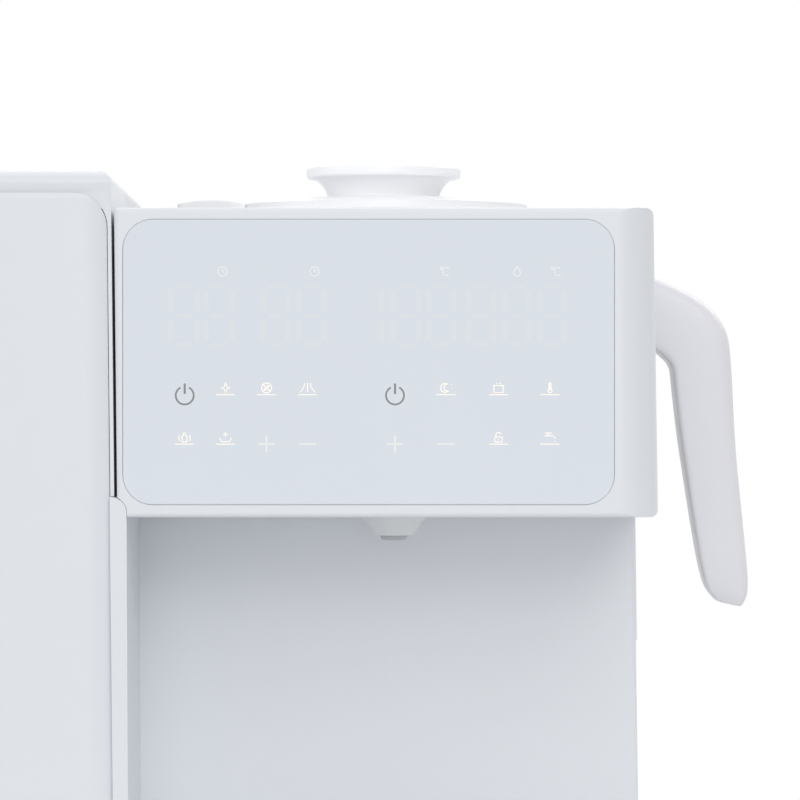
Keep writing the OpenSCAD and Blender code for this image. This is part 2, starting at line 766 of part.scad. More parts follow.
// Front views of the fan frame's ring and of its motor cup with struts
module fan_ring() {
    difference() {
        rect([cab_cx - fan_size / 2, air_z - fan_size / 2], [cab_cx + fan_size / 2, air_z + fan_size / 2]);
        translate([cab_cx, air_z]) circle(fan_bore);
    }
}
module fan_cup() {
    difference() {
        translate([cab_cx, air_z]) circle(motor_r + 2);
        translate([cab_cx, air_z]) circle(motor_r + fit);
    }
}
module fan_frame() {
    strut = 5;
    strut_t = 4;
    y1 = fan_y + fan_t;
    color("dimgray") {
        along_y(fan_y, y1 - strut_t) fan_ring();
        along_y(y1 - motor_t, y1 - strut_t) fan_cup();
        along_y(y1 - strut_t, y1) {
            fan_ring();
            fan_cup();
            translate([cab_cx, air_z]) for (a = [45:90:315]) rotate(a)
                translate([motor_r + 1, -strut / 2]) square([fan_bore - motor_r + 1, strut]);
        }
    }
}

module fan_motor() {
    color("silver")
        difference() {
            turned_y([cab_cx, fan_y + fan_t - motor_t, air_z], motor_r, motor_t);
            turned_y([cab_cx, fan_y + fan_t - motor_t - over, air_z], axle_r + pin_fit, motor_t - 1 + over);
        }
}

module fan_impeller() {
    blade_t = 1.6;
    pitch_angle = 38;
    y1 = fan_y + fan_t - motor_t - 1;
    y0 = fan_y + 1;
    color("dimgray") {
        turned_y([cab_cx, y0, air_z], hub_r, y1 - y0);
        turned_y([cab_cx, y1 - over, air_z], axle_r, motor_t - 2 + over);
        intersection() {
            difference() {
                turned_y([cab_cx, y0, air_z], fan_bore - 1.5, y1 - y0);
                turned_y([cab_cx, y0 - over, air_z], hub_r - 1, y1 - y0 + 2 * over);
            }
            union()
                for (i = [0:blade_n - 1])
                    translate([cab_cx, (y0 + y1) / 2, air_z]) rotate([0, i * 360 / blade_n, 0])
                        rotate([pitch_angle, 0, 0])
                        translate([0, -12, -blade_t / 2]) cube([fan_bore, 24, blade_t]);
        }
    }
}

module air_filter() {
    rib_n = 6;
    pitch = fan_size / rib_n;
    color("white")
        difference() {
            block([cab_cx - fan_size / 2, filter_y, air_z - fan_size / 2],
                  [cab_cx + fan_size / 2, filter_y + filter_t, air_z + fan_size / 2]);
            for (i = [0:rib_n - 1])
                block([cab_cx - fan_size / 2 + 4, filter_y - over, air_z - fan_size / 2 + (i + 0.25) * pitch],
                      [cab_cx + fan_size / 2 - 4, filter_y + filter_t / 2,
                          air_z - fan_size / 2 + (i + 0.75) * pitch]);
        }
}

module filter_cover() {
    lip = 5;
    slot_n = 10;
    half = fan_size / 2;
    pitch = (fan_size - 8) / slot_n;
    color("gainsboro")
        difference() {
            union() {
                along_y(case_y1 + fit / 2, y_rear - fit)
                    rect([cab_cx - half - lip, air_z - half - lip], [cab_cx + half + lip, air_z + half + lip], 4);
                along_y(case_y1 - cover_t + fit, case_y1 + fit)
                    rect([cab_cx - half + fit, air_z - half + fit], [cab_cx + half - fit, air_z + half - fit]);
            }
            along_y(case_y1 - cover_t - over, y_rear + over)
                for (i = [0:slot_n - 1])
                    rect([cab_cx - half + 6, air_z - half + 4 + (i + 0.28) * pitch],
                        [cab_cx + half - 6, air_z - half + 4 + (i + 0.72) * pitch], pitch / 4.7);
        }
}

// Plan outline of the base pan, drawn in by an inset
module base_outline(inset) {
    rect([cab_x0 + inset, case_y0 + inset], [base_x1 - inset, y_rear - inset], base_r - inset);
}

tray_x0 = nozzle_x - tray_w / 2;
tray_x1 = nozzle_x + tray_w / 2;
module base_pan() {
    rib_x1 = plinth_x0 + col_wall;
    scoop_y = y_front + door_t / 2 + 4;
    scoop_wall = 2.5;
    color("whitesmoke")
        difference() {
            union() {
                difference() {
                    along_z(foot_h, base_top) base_outline(0);
                    along_z(floor_z, base_top + over) base_outline(base_wall);
                }
                along_z(floor_z - 0.5, base_top)
                    intersection() {
                        base_outline(base_wall / 2);
                        translate([cab_x1 - case_wall, case_y0]) square([rib_x1 - cab_x1 + case_wall, depth]);
                    }
                along_z(floor_z - 0.5, base_top) intersection() {
                    base_outline(base_wall / 2);
                    translate([cab_x0, case_y0]) square([hinge_x - cab_x0 + 6, hinge_y - case_y0 + 7]);
                }
                along_z(base_top - base_wall, base_top) intersection() {
                    base_outline(base_wall / 2);
                    translate([cab_x0, case_y0]) square([rib_x1 - cab_x0, case_front + flange_t - case_y0]);
                }
                block([grip_x - grip_w / 2 - scoop_wall, case_y0 + base_wall / 2, base_top - scoop_r - scoop_wall],
                      [grip_x + grip_w / 2 + scoop_wall, scoop_y + scoop_r + scoop_wall, base_top]);
            }
            translate([grip_x - grip_w / 2, scoop_y, base_top]) rotate([0, 90, 0])
                cylinder(r = scoop_r, h = grip_w);
            block([grip_x - grip_w / 2, case_y0 - over, base_top - scoop_r * 0.7],
                [grip_x + grip_w / 2, scoop_y, base_top + over]);
            translate([hinge_x, hinge_y, base_top - pin_seat - fit])
                cylinder(r = pin_r + pin_fit, h = pin_seat + 2 * over);
            block([tray_x0 - tray_gap, case_y0 - over, floor_z],
                [tray_x1 + tray_gap, case_y0 + base_wall + over, base_top + over]);
        }
}

foot_r = 9;
foot_in = 22;
module feet() {
    color("dimgray")
        for (x = [cab_x0 + foot_in, cab_x1, base_x1 - foot_in], y = [case_y0 + foot_in, y_rear - foot_in])
            translate([x, y, 0]) cylinder(r1 = foot_r - 1, r2 = foot_r, h = foot_h);
}

deck_t = 2.5;
module bay_deck() {
    x0 = plinth_x0 + col_wall + fit;
    color("whitesmoke")
        along_z(base_top - deck_t, base_top)
            difference() {
                intersection() {
                    base_outline(base_wall + fit);
                    translate([x0, case_y0]) square([base_x1 - x0, col_y0 - fit - case_y0]);
                }
                rect([tray_x0 - tray_gap, case_y0], [tray_x1 + tray_gap, case_y0 + tray_d + tray_gap]);
            }
}

tray_z0 = floor_z + fit;
grille_z = base_top - grille_t;
module drip_tray() {
    ledge = 1.4;
    y1 = case_y0 + tray_d;
    color("whitesmoke")
        difference() {
            block([tray_x0, case_y0, tray_z0], [tray_x1, y1, base_top]);
            along_z(tray_z0 + tray_wall, base_top + over)
                rect([tray_x0 + tray_wall + ledge, case_y0 + tray_wall + ledge],
                    [tray_x1 - tray_wall - ledge, y1 - tray_wall - ledge], 6);
            along_z(grille_z, base_top + over)
                rect([tray_x0 + tray_wall, case_y0 + tray_wall], [tray_x1 - tray_wall, y1 - tray_wall], 3);
        }
}

module drip_grille() {
    y0 = case_y0 + tray_wall + fit;
    y1 = case_y0 + tray_d - tray_wall - fit;
    x0 = tray_x0 + tray_wall + fit;
    x1 = tray_x1 - tray_wall - fit;
    n = 11;
    pitch = (x1 - x0 - 12) / n;
    mid = (y0 + y1) / 2;
    color("white")
        along_z(grille_z + fit / 2, base_top)
            difference() {
                rect([x0, y0], [x1, y1], 2.8);
                for (i = [0:n - 1], s = [0, 1])
                    rect([x0 + 6 + (i + 0.22) * pitch, s == 0 ? y0 + 7 : mid + 3],
                        [x0 + 6 + (i + 0.78) * pitch, s == 0 ? mid - 3 : y1 - 7], 0.27 * pitch);
            }
}

// Front outline of the cheek: leaning face towards the bay and a quarter-round top
module cheek_outline(left, grow) {
    z1 = cheek_top + grow;
    r = cheek_face(cheek_top) - door_right(cheek_top) - 2 * door_gap;
    pts = [[left(base_top), base_top], [cheek_face(base_top) + grow, base_top],
           [cheek_face(z1) + grow, z1], [left(z1), z1]];
    intersection() {
        rounded(pts, [0, 0, r + grow, 0]);
        polygon(pts);
    }
}
module bay_cheek() {
    rim_left = function (z) door_right(z) + door_gap;
    case_left = function (z) case_right(z) + 0.1;
    color("whitesmoke") {
        along_y(y_front, case_front - fit) cheek_outline(rim_left, 0);
        intersection() {
            along_y(case_front - fit - 0.01, bay_y1) cheek_outline(rim_left, 0);
            along_y(case_front - over, bay_y1) polygon([[case_left(base_top), base_top], [head_x1, base_top],
                                                      [head_x1, cab_h], [case_left(cab_h), cab_h]]);
        }
    }
}

module bay_back() {
    color("whitesmoke")
        difference() {
            along_y(bay_y1 + 0.05, col_y0)
                polygon([[plinth_x0, base_top], [col_side(base_top) - col_step, base_top],
                         [col_side(head_z0) - col_step, head_z0 - fit], [plinth_x0, head_z0 - fit]]);
            edge_roll([col_side(base_top) - col_step, bay_y1, base_top], 2, bay_h, head_draft, 1);
        }
}

// Upper column between the bay and the kettle, open towards the bay's back panel
module column_shell() {
    x0 = head_x0 + fit;
    z1 = head_z0 - fit;
    r = 5;
    color("whitesmoke")
        difference() {
            along_y(col_y0 + 0.05, head_y1)
                polygon([[x0, plinth_top], [col_side(plinth_top), plinth_top], [col_side(z1), z1], [x0, z1]]);
            along_y(col_y0 - over, head_y1 - col_wall)
                polygon([[x0 + col_wall, plinth_top - over],
                    [col_side(plinth_top - over) - col_wall, plinth_top - over],
                         [col_side(z1 + over) - col_wall, z1 + over], [x0 + col_wall, z1 + over]]);
            edge_roll([col_side(plinth_top), head_y1, plinth_top], r - 2.5, z1 - plinth_top, head_draft, 1, 1);
        }
}

inlet_w = 30;
inlet_h = 22;
inlet_d = 22;
inlet_x = kettle_x;
inlet_z = base_top + 34;
module plinth_shell() {
    r = 3;
    right = function (z) col_side(z) - col_step;
    color("whitesmoke")
        difference() {
            along_y(col_y0 + 0.05, y_rear)
                rounded([[plinth_x0, base_top], [right(base_top), base_top],
                    [right(plinth_top), plinth_top - fit / 2],
                         [plinth_x0, plinth_top - fit / 2]], [0, 0, r, 0]);
            edge_roll([right(base_top), y_rear, base_top], plinth_r, plinth_h, head_draft, 1, 1);
            difference() {
                along_y(col_y0 - over, y_rear - col_wall)
                    polygon([[plinth_x0 + col_wall, base_top - over],
                        [right(base_top - over) - col_wall, base_top - over],
                             [right(plinth_top) - col_wall, plinth_top - col_wall],
                                 [plinth_x0 + col_wall, plinth_top - col_wall]]);
                edge_roll([right(base_top) - col_wall, y_rear - col_wall, base_top], plinth_r - col_wall,
                    plinth_h, head_draft, 1, 1);
            }
            block([plinth_x0 + 2 * col_wall, col_y0 - over, plinth_top - 2 * col_wall],
                  [right(plinth_top) - 2 * col_wall, head_y1 - col_wall - fit, plinth_top + over]);
            translate([kettle_x - valve_off, kettle_y, plinth_top - 2 * col_wall])
                cylinder(r = nipple_r + fit, h = 4 * col_wall);
            block([inlet_x - inlet_w / 2 - fit, y_rear - 2 * col_wall, inlet_z - inlet_h / 2 - fit],
                  [inlet_x + inlet_w / 2 + fit, y_rear + over, inlet_z + inlet_h / 2 + fit]);
        }
}

// Front outline of the head, drawn in by an inset
module head_outline(inset, r) {
    left = function (z) head_x0 - (z - head_z0) * tan(case_draft) + inset;
    right = function (z) disp_right(z) - inset;
    z0 = head_z0 + inset;
    z1 = head_z1 - inset;
    rounded([[left(z0), z0], [right(z0), z0], [right(z1), z1], [left(z1), z1]], [r / 2, r, r, r / 2]);
}
module glass_outline(grow) {
    rect([glass_x0 - grow, glass_z0 - grow], [glass_x0 + glass_w + grow, glass_z0 + glass_h + grow],
        glass_r + grow);
}

module head_shell() {
    rear_r = 6;
    color("whitesmoke")
        difference() {
            intersection() {
                along_y(y_front, head_y1) head_outline(0, head_r);
                along_x(head_x0 - head_w, head_x1 + head_w)
                    rounded([[y_front, head_z0], [head_y1, head_z0], [head_y1, head_z1], [y_front, head_z1]],
                            [head_edge_r, head_edge_r, rear_r, head_edge_r]);
            }
            edge_roll([head_x1, y_front, head_z0], head_roll, head_h, head_draft, 1);
            edge_roll([head_x0, y_front, head_z0], head_edge_r, head_h, -case_draft, -1);
            edge_roll([head_x1, head_y1, head_z0], rear_r, head_h, head_draft, 1, 1);
            difference() {
                along_y(y_front + head_front_t, head_y1 - head_wall) {
                    head_outline(head_wall, head_r - 1);
                    rect([head_x0 + head_wall + cheek_w, head_z0 - over],
                        [head_x1 - head_wall, head_z0 + head_h / 2]);
                }
                edge_roll([head_x1 - head_wall, y_front + head_front_t, head_z0 - over],
                    head_roll - head_front_t, head_h + over, head_draft, 1);
            }
            along_y(y_front - over, y_front + glass_t + fit / 2) glass_outline(glass_gap);
            along_y(y_front - over, y_front + head_front_t + over) glass_outline(-glass_ledge);
            along_y(y_front - over, head_y1 + over)
                cheek_outline(function (z) head_x0 - 2 * head_r - over, 0.15);
        }
}

module head_floor() {
    x0 = head_x0 + head_wall + cheek_w + fit;
    x1 = head_x1 - head_wall - fit;
    y0 = y_front + head_front_t + fit;
    y1 = head_y1 - head_wall - fit;
    r = head_roll - head_front_t;
    color("whitesmoke")
        difference() {
            along_z(head_z0 + fit / 2, head_z0 + head_wall)
                rounded([[x0, y0], [x1, y0], [x1, y1], [x0, y1]], [0, r, 0, 0]);
            translate([nozzle_x, nozzle_y, head_z0 - over]) cylinder(r = stem_r + fit, h = 4 * over + head_wall);
            translate([hose_x, hose_y, head_z0 - over]) cylinder(r = hose_r + 1, h = 4 * over + head_wall);
        }
}

module control_glass() { color("aliceblue", 0.9) along_y(y_front, y_front + glass_t) glass_outline(0); }

module display_board() {
    y = y_front + head_front_t;
    grow = glass_ledge - 1.5;
    color("seagreen") {
        along_y(y + 0.05, y + board_t)
            rect([glass_x0 + grow, glass_z0 + grow],
                [glass_x0 + glass_w - grow - head_roll / 2, glass_z0 + glass_h - grow], 2);
        block([glass_x0 + 30, y + board_t - 0.1, glass_z0 + 20], [glass_x0 + 80, y + board_t + 6, glass_z0 + 40]);
    }
}

module nozzle() {
    stem_h = 6;
    color("lightgray")
        difference() {
            union() {
                translate([nozzle_x, nozzle_y, head_z0 - nozzle_h])
                    cylinder(r1 = nozzle_end_r, r2 = nozzle_r, h = nozzle_h);
                translate([nozzle_x, nozzle_y, head_z0 - over]) cylinder(r = stem_r, h = head_wall + stem_h + over);
            }
            translate([nozzle_x, nozzle_y, head_z0 - nozzle_h - over])
                cylinder(r = water_r, h = nozzle_h + head_wall + stem_h + 2 * over);
            translate([nozzle_x, nozzle_y, head_z0 - nozzle_h - over]) cylinder(r = tip_r - 1, h = 3 + over);
        }
}
module nozzle_tip() {
    hold = 2.8;
    color("gray")
        difference() {
            union() {
                translate([nozzle_x, nozzle_y, head_z0 - nozzle_h - tip_h]) cylinder(r = tip_r, h = tip_h - 0.05);
                translate([nozzle_x, nozzle_y, head_z0 - nozzle_h - tip_h])
                    cylinder(r = tip_r - 1.1, h = tip_h + hold);
            }
            translate([nozzle_x, nozzle_y, head_z0 - nozzle_h - tip_h - over])
                cylinder(r = water_r, h = tip_h + hold + 2 * over);
        }
}

module kettle_seat() {
    seat_r = kettle_r - 14;
    post_h = 8;
    color("gainsboro")
        translate([kettle_x, kettle_y, plinth_top]) difference() {
            rotate_extrude() {
                square([seat_r, seat_h]);
                square([post_r, seat_h + post_h]);
            }
            translate([-valve_off, 0, -over]) cylinder(r = nipple_r + fit, h = seat_h + 2 * over);
            translate([0, 0, seat_h + post_h - 5]) cylinder(r = 3, h = 5 + over);
        }
}

module water_coupler() {
    flange_r = nipple_r + 6;
    color("silver")
        translate([kettle_x - valve_off, kettle_y, 0]) difference() {
            union() {
                translate([0, 0, plinth_top - col_wall - 11])
                    cylinder(r = nipple_r, h = col_wall + 11 + seat_h + 4);
                translate([0, 0, plinth_top - col_wall - 3]) cylinder(r = flange_r, h = 3);
            }
            translate([0, 0, plinth_top - 40]) cylinder(r = water_r, h = 60);
        }
}
module coupler_seal() {
    color("dimgray")
        translate([kettle_x - valve_off, kettle_y, plinth_top + seat_h])
            rotate_extrude() translate([nipple_r + 0.1, 0]) square([1.6, kettle_lift - 0.1]);
}

// Pump under the coupler, with its inlet upwards and its outlet towards the column
pump_side = 30;
pump_x = kettle_x - valve_off;
pump_z1 = floor_z + pump_side;
nipple_h = 8;
module pump() {
    color("dimgray")
        difference() {
            union() {
                block([pump_x - pump_side / 2, kettle_y - pump_side / 2, floor_z + 0.05],
                    [pump_x + pump_side / 2, kettle_y + pump_side / 2, pump_z1]);
                translate([pump_x, kettle_y, pump_z1 - over]) cylinder(r = stem_r, h = nipple_h + over);
                turned_y([pump_x, kettle_y - pump_side / 2 - nipple_h, floor_z + pump_side / 2],
                    stem_r, nipple_h + over);
            }
            translate([pump_x, kettle_y, pump_z1 - 5]) cylinder(r = stem_r - 1, h = nipple_h + 6);
            turned_y([pump_x, kettle_y - pump_side / 2 - nipple_h - over, floor_z + pump_side / 2],
                stem_r - 1, nipple_h + 6);
        }
}
module pump_motor() {
    motor_len = 38;
    r = pump_side / 2 - 2;
    color("silver")
        translate([pump_x + pump_side / 2 + 0.05, kettle_y, floor_z + pump_side / 2]) rotate([0, 90, 0]) {
            cylinder(r = r, h = motor_len);
            cylinder(r = 5, h = motor_len + 3);
        }
}
module suction_hose() {
    z0 = pump_z1 + 0.3;
    z1 = plinth_top - col_wall - 3 - 0.3;
    neck = nipple_r + 1.5;
    color("lightblue", 0.7)
        translate([pump_x, kettle_y, z0]) difference() {
            union() {
                cylinder(r = hose_r + 0.8, h = z1 - z0 - 12);
                translate([0, 0, z1 - z0 - 14]) cylinder(r = neck, h = 14);
            }
            translate([0, 0, -over]) cylinder(r = water_r + 1.1, h = z1 - z0 + 2 * over);
            translate([0, 0, z1 - z0 - 8.5]) cylinder(r = nipple_r + 0.1, h = 12);
        }
}

// Delivery hose: a tube swept from the pump's outlet up the column to the nozzle
hose_x = pump_x;
hose_y = (col_y0 + head_y1 - col_wall) / 2;
hose_rise = 20;
hose_bend = 12;
hose_sides = 8;
hose_corners = [
    [pump_x, kettle_y - pump_side / 2 - 1, floor_z + pump_side / 2],
    [hose_x, hose_y, floor_z + pump_side / 2],
    [hose_x, hose_y, head_z0 + head_wall + hose_rise],
    [nozzle_x, nozzle_y, head_z0 + head_wall + hose_rise],
    [nozzle_x, nozzle_y, head_z0 + head_wall + 1]
];
// Points along the route, with each inner corner turned by an arc of short steps
function arc_points(p, a, b, r) =
    let (u = unit(a - p), v = unit(b - p), half = acos(u * v) / 2, back = r / tan(half),
         c = p + unit(u + v) * r / sin(half), e = unit(p + u * back - c), sweep = 180 - 2 * half)
    [for (k = [0:4]) let (t = sweep * k / 4) c + r * (e * cos(t) - u * sin(t))];
hose_route = concat([hose_corners[0]],
    [for (i = [1:len(hose_corners) - 2]) each arc_points(hose_corners[i], hose_corners[i - 1],
        hose_corners[i + 1], hose_bend)],
    [hose_corners[len(hose_corners) - 1]]);
function route_dir(i) = let (n = len(hose_route) - 1) unit(hose_route[min(i + 1, n)] - hose_route[max(i - 1, 0)]);
// Side vector carried along the route without twist
function carried(i) = i == 0 ? [1, 0, 0] : let (s = carried(i - 1), d = route_dir(i)) unit(s - d * (s * d));
module delivery_hose() {
    n = len(hose_route);
    m = hose_sides;
    ring = function (r) [for (i = [0:n - 1], k = [0:m - 1])
        let (d = route_dir(i), s = carried(i), w = cross(d, s), a = k * 360 / m)
            hose_route[i] + r * (s * cos(a) + w * sin(a))];
    bore = water_r + 1.2;
    skin = function (base, flip) [for (i = [0:n - 2], k = [0:m - 1])
        let (a = base + i * m + k, b = base + i * m + (k + 1) % m, c = b + m, d = a + m) each
            flip ? [[a, b, c], [a, c, d]] : [[a, c, b], [a, d, c]]];
    cap = function (i, flip) [for (k = [0:m - 1])
        let (a = i * m + k, b = i * m + (k + 1) % m, c = n * m + b, d = n * m + a) each
            flip ? [[a, b, c], [a, c, d]] : [[a, c, b], [a, d, c]]];
    color("lightblue", 0.7)
        polyhedron(points = concat(ring(hose_r), ring(bore)),
                   faces = concat(skin(0, false), skin(n * m, true), cap(0, true), cap(n - 1, false)));
}

power_w = 60;
power_d = 35;
power_lift = 8;
module power_board() {
    x0 = kettle_x + power_w / 6;
    y0 = kettle_y - power_w;
    z = floor_z + power_lift;
    color("seagreen") {
        block([x0, y0, z], [x0 + power_w, y0 + power_d, z + board_t]);
        block([x0 + 6, y0 + 6, z], [x0 + 26, y0 + 28, z + 20]);
        for (i = [0:2]) translate([x0 + 36 + i * 8, y0 + 10, z]) cylinder(r = 3.5, h = 16);
        for (x = [x0 + 4, x0 + power_w - 4], y = [y0 + 4, y0 + power_d - 4])
            translate([x, y, floor_z + 0.05]) cylinder(r = 2.5, h = power_lift + 0.5);
    }
}

module mains_inlet() {
    wall = 2.5;
    color("dimgray")
        difference() {
            union() {
                block([inlet_x - inlet_w / 2, y_rear - inlet_d, inlet_z - inlet_h / 2],
                    [inlet_x + inlet_w / 2, y_rear, inlet_z + inlet_h / 2]);
                block([inlet_x - inlet_w / 2 - 3, y_rear - col_wall - 2.1, inlet_z - inlet_h / 2 - 3],
                      [inlet_x + inlet_w / 2 + 3, y_rear - col_wall - 0.1, inlet_z + inlet_h / 2 + 3]);
            }
            along_y(y_rear - inlet_d + wall, y_rear + over)
                rounded([[inlet_x - inlet_w / 2 + wall, inlet_z - inlet_h / 2 + wall],
                    [inlet_x + inlet_w / 2 - wall, inlet_z - inlet_h / 2 + wall],
                         [inlet_x + inlet_w / 2 - wall, inlet_z + inlet_h / 2 - wall],
                             [inlet_x - inlet_w / 2 + wall, inlet_z + inlet_h / 2 - wall]],
                        [1, 1, 4, 4]);
        }
}
module inlet_pins() {
    wall = 2.5;
    pin_len = 11;
    color("silver")
        for (p = [[-7, -1.5], [0, 2.5], [7, -1.5]])
            block([inlet_x + p[0] - 1, y_rear - inlet_d + wall + 0.05, inlet_z + p[1] - 2],
                  [inlet_x + p[0] + 1, y_rear - inlet_d + wall + pin_len, inlet_z + p[1] + 2]);
}

// Kettle body pieces, placed on the kettle's axis
module on_axis() { translate([kettle_x, kettle_y, 0]) children(); }

module kettle_base() {
    skin = 3;
    color("whitesmoke")
        on_axis() difference() {
            translate([0, 0, kettle_z0]) rotate_extrude()
                rounded([[0, 0], [kettle_r, 0], [kettle_r - 1, kettle_base_h], [0, kettle_base_h]], [0, 4, 1.5, 0]);
            translate([0, 0, kettle_z0 - over]) cylinder(r = socket_r + fit, h = kettle_base_h - skin + over);
            translate([-valve_off, 0, kettle_z0 - over]) cylinder(r = valve_r + fit, h = kettle_base_h + 2 * over);
            translate([0, 0, kettle_z0 + kettle_base_h - plate_t])
                cylinder(r = jug_r - jug_wall - 1 + fit, h = plate_t + over);
        }
}
module heating_plate() {
    color("silver")
        on_axis() difference() {
            translate([0, 0, jug_z0 - plate_t + 0.05]) cylinder(r = jug_r - jug_wall - 1, h = plate_t + 0.4);
            translate([-valve_off, 0, jug_z0 - 2 * plate_t]) cylinder(r = valve_r + fit, h = 4 * plate_t);
        }
}
module kettle_socket() {
    color("dimgray")
        on_axis() translate([0, 0, kettle_z0 + 0.4]) difference() {
            cylinder(r = socket_r, h = kettle_base_h - 4);
            translate([0, 0, -over]) cylinder(r = post_r + 0.8, h = kettle_base_h - 7 + over);
        }
}
module kettle_valve() {
    z1 = jug_z0 + 1.2;
    color("silver")
        on_axis() translate([-valve_off, 0, kettle_z0 + 0.2]) difference() {
            cylinder(r = valve_r, h = z1 - kettle_z0 - 0.2);
            translate([0, 0, -over]) cylinder(r = nipple_r + 0.6, h = 7 + over);
            cylinder(r = water_r, h = 40);
        }
}
module glass_jug() {
    lip = 0.5;
    color("lightcyan", 0.35)
        on_axis() translate([0, 0, jug_z0 + lip]) rotate_extrude()
            polygon([[jug_r - jug_wall, 0], [jug_r, 0],
                [jug_top_r, jug_h - lip], [jug_top_r - jug_wall, jug_h - lip]]);
}

// Collar that grips the jug's mouth, with the spout on its left side
module kettle_collar() {
    edge = 3;
    beak_z0 = collar_z0 + 26;
    beak_top = collar_z1 + spout_rise;
    hump = 70;
    tip_w = 7;
    root_w = 21;
    spout_hump = 13.5;
    color("whitesmoke")
        on_axis() difference() {
            union() {
                rotate_extrude() rounded([[0, collar_z0], [collar_r, collar_z0], [collar_r, collar_z1],
                    [0, collar_z1]], [0, 1, edge, 0]);
                intersection() {
                    hull() {
                        translate([root_w - collar_r - 6, 0, beak_z0])
                            cylinder(r = root_w, h = beak_top - beak_z0, $fn = 40);
                        translate([tip_w - spout_reach, 0, beak_top - 8]) cylinder(r = tip_w, h = 8, $fn = 32);
                    }
                    turned_y([(spout_hump - spout_reach), -2 * root_w, beak_top - hump], hump, 4 * root_w);
                }
            }
            translate([0, 0, collar_z0 - over]) cylinder(r1 = jug_at(collar_z0 - over) + fit,
                r2 = jug_top_r + fit, h = collar_skirt + fit + over);
            translate([0, 0, collar_z0]) cylinder(r = mouth_r, h = 2 * collar_skirt + collar_h);
            translate([0, 0, collar_z1]) cylinder(r = lid_r + 0.5, h = 20);
            hull() {
                translate([root_w - collar_r, 0, collar_z1 - 12]) cylinder(r = root_w - 4, h = 11, $fn = 40);
                translate([-spout_reach - 1, 0, collar_z1 - 2]) cylinder(r = tip_w - 3, h = 3, $fn = 32);
            }
        }
}

// Handle: sections between an outer and an inner edge. Each key holds the outer and the inner edge as parts
// of the handle's reach and drop, and its share of the full thickness.
handle_keys = [
    [-0.08, 0.000, -0.08, 0.197, 1.05], [0.26, 0.030, 0.26, 0.240, 1.02], [0.56, 0.086, 0.52, 0.284, 1.00],
    [0.77, 0.145, 0.58, 0.305, 1.00], [0.88, 0.214, 0.62, 0.333, 1.00], [0.917, 0.300, 0.631, 0.382, 1.00],
    [0.940, 0.547, 0.666, 0.547, 0.98], [0.985, 0.808, 0.739, 0.808, 0.93], [1.000, 0.900, 0.770, 0.895, 0.89],
    [0.997, 0.958, 0.800, 0.944, 0.80], [0.965, 0.992, 0.850, 0.976, 0.55]
];
handle_top = collar_z0 + arm_rise;
key_steps = 3;
// Smooth curve through four keys
function between(a, b, c, d, t) =
    0.5 * (2 * b + (c - a) * t + (2 * a - 5 * b + 4 * c - d) * t * t + (3 * b - a - 3 * c + d) * t * t * t);
function key(i) = handle_keys[min(max(i, 0), len(handle_keys) - 1)];
function section(i, t) =
    let (k = between(key(i - 1), key(i), key(i + 1), key(i + 2), t), run = handle_reach - collar_r)
    [[collar_r + k[0] * run, handle_top - k[1] * handle_drop],
        [collar_r + k[2] * run, handle_top - k[3] * handle_drop],
     k[4] * handle_t / 2];
stations = concat([for (i = [0:len(handle_keys) - 2], n = [0:key_steps - 1]) section(i, n / key_steps)],
                  [section(len(handle_keys) - 2, 1)]);
module kettle_handle() {
    m = 20;
    n = len(stations);
    soft = function (v, a) sign(v) * pow(abs(v), 2 / (cos(a) < 0 ? grip_square : grip_soft));
    points = [for (s = stations, k = [0:m - 1])
        let (a = k * 360 / m, mid = (s[0] + s[1]) / 2, p = mid + (s[0] - s[1]) / 2 * soft(cos(a), a))
        [p[0], s[2] * soft(sin(a), a), p[1]]];
    sides = [for (i = [0:n - 2], k = [0:m - 1])
        let (a = i * m + k, b = i * m + (k + 1) % m) each [[a, b, b + m], [a, b + m, a + m]]];
    ends = [for (k = [1:m - 2]) each [[0, k + 1, k], [(n - 1) * m, (n - 1) * m + k, (n - 1) * m + k + 1]]];
    color("whitesmoke")
        on_axis() difference() {
            polyhedron(points = points, faces = concat(sides, ends));
            translate([0, 0, collar_z0 - 20]) cylinder(r = collar_r + 0.1, h = 3 * collar_skirt);
        }
}

module kettle_lid() {
    color("white")
        on_axis() rotate_extrude() {
            intersection() {
                translate([0, lid_top - lid_crown]) circle(lid_crown, $fn = 360);
                rounded([[0, lid_z0], [lid_r, lid_z0], [lid_r, lid_top + over], [0, lid_top + over]],
                    [0, 0.6, 0, 0]);
                square([lid_r, knob_z0]);
            }
            translate([0, lid_z0 - plug_h]) square([mouth_r - 4, plug_h + 0.5]);
        }
}
module lid_seal() {
    groove = 3;
    color("lightgray")
        on_axis() translate([0, 0, lid_z0 - plug_h + 2]) rotate_extrude()
            translate([mouth_r - 4 + 0.05, 0]) square([3.6, groove]);
}
module lid_knob() {
    edge = 1.2;
    sink = 3.7;
    z1 = knob_z0 + knob_seat + knob_rise;
    crown_r = (knob_r * knob_r + knob_crown * knob_crown) / (2 * knob_crown);
    color("white")
        on_axis() rotate_extrude() {
            intersection() {
                rounded([[0, z1], [knob_r, z1], [knob_r, z1 + knob_t + edge], [0, z1 + knob_t + edge]],
                    [0, edge, edge, 0]);
                translate([0, z1 + knob_t + knob_crown - crown_r]) circle(crown_r, $fn = 240);
            }
            intersection() {
                translate([0, z1]) square([knob_r - 2, knob_t + knob_crown]);
                translate([0, z1 + knob_t + knob_crown - crown_r]) circle(crown_r, $fn = 240);
            }
            difference() {
                translate([0, knob_z0]) square([knob_neck_r + knob_flare / 2, z1 - knob_z0 + edge]);
                translate([knob_neck_r + sqrt(knob_flare * knob_flare - sink * sink), knob_z0 + knob_seat - sink])
                    circle(knob_flare);
            }
        }
}

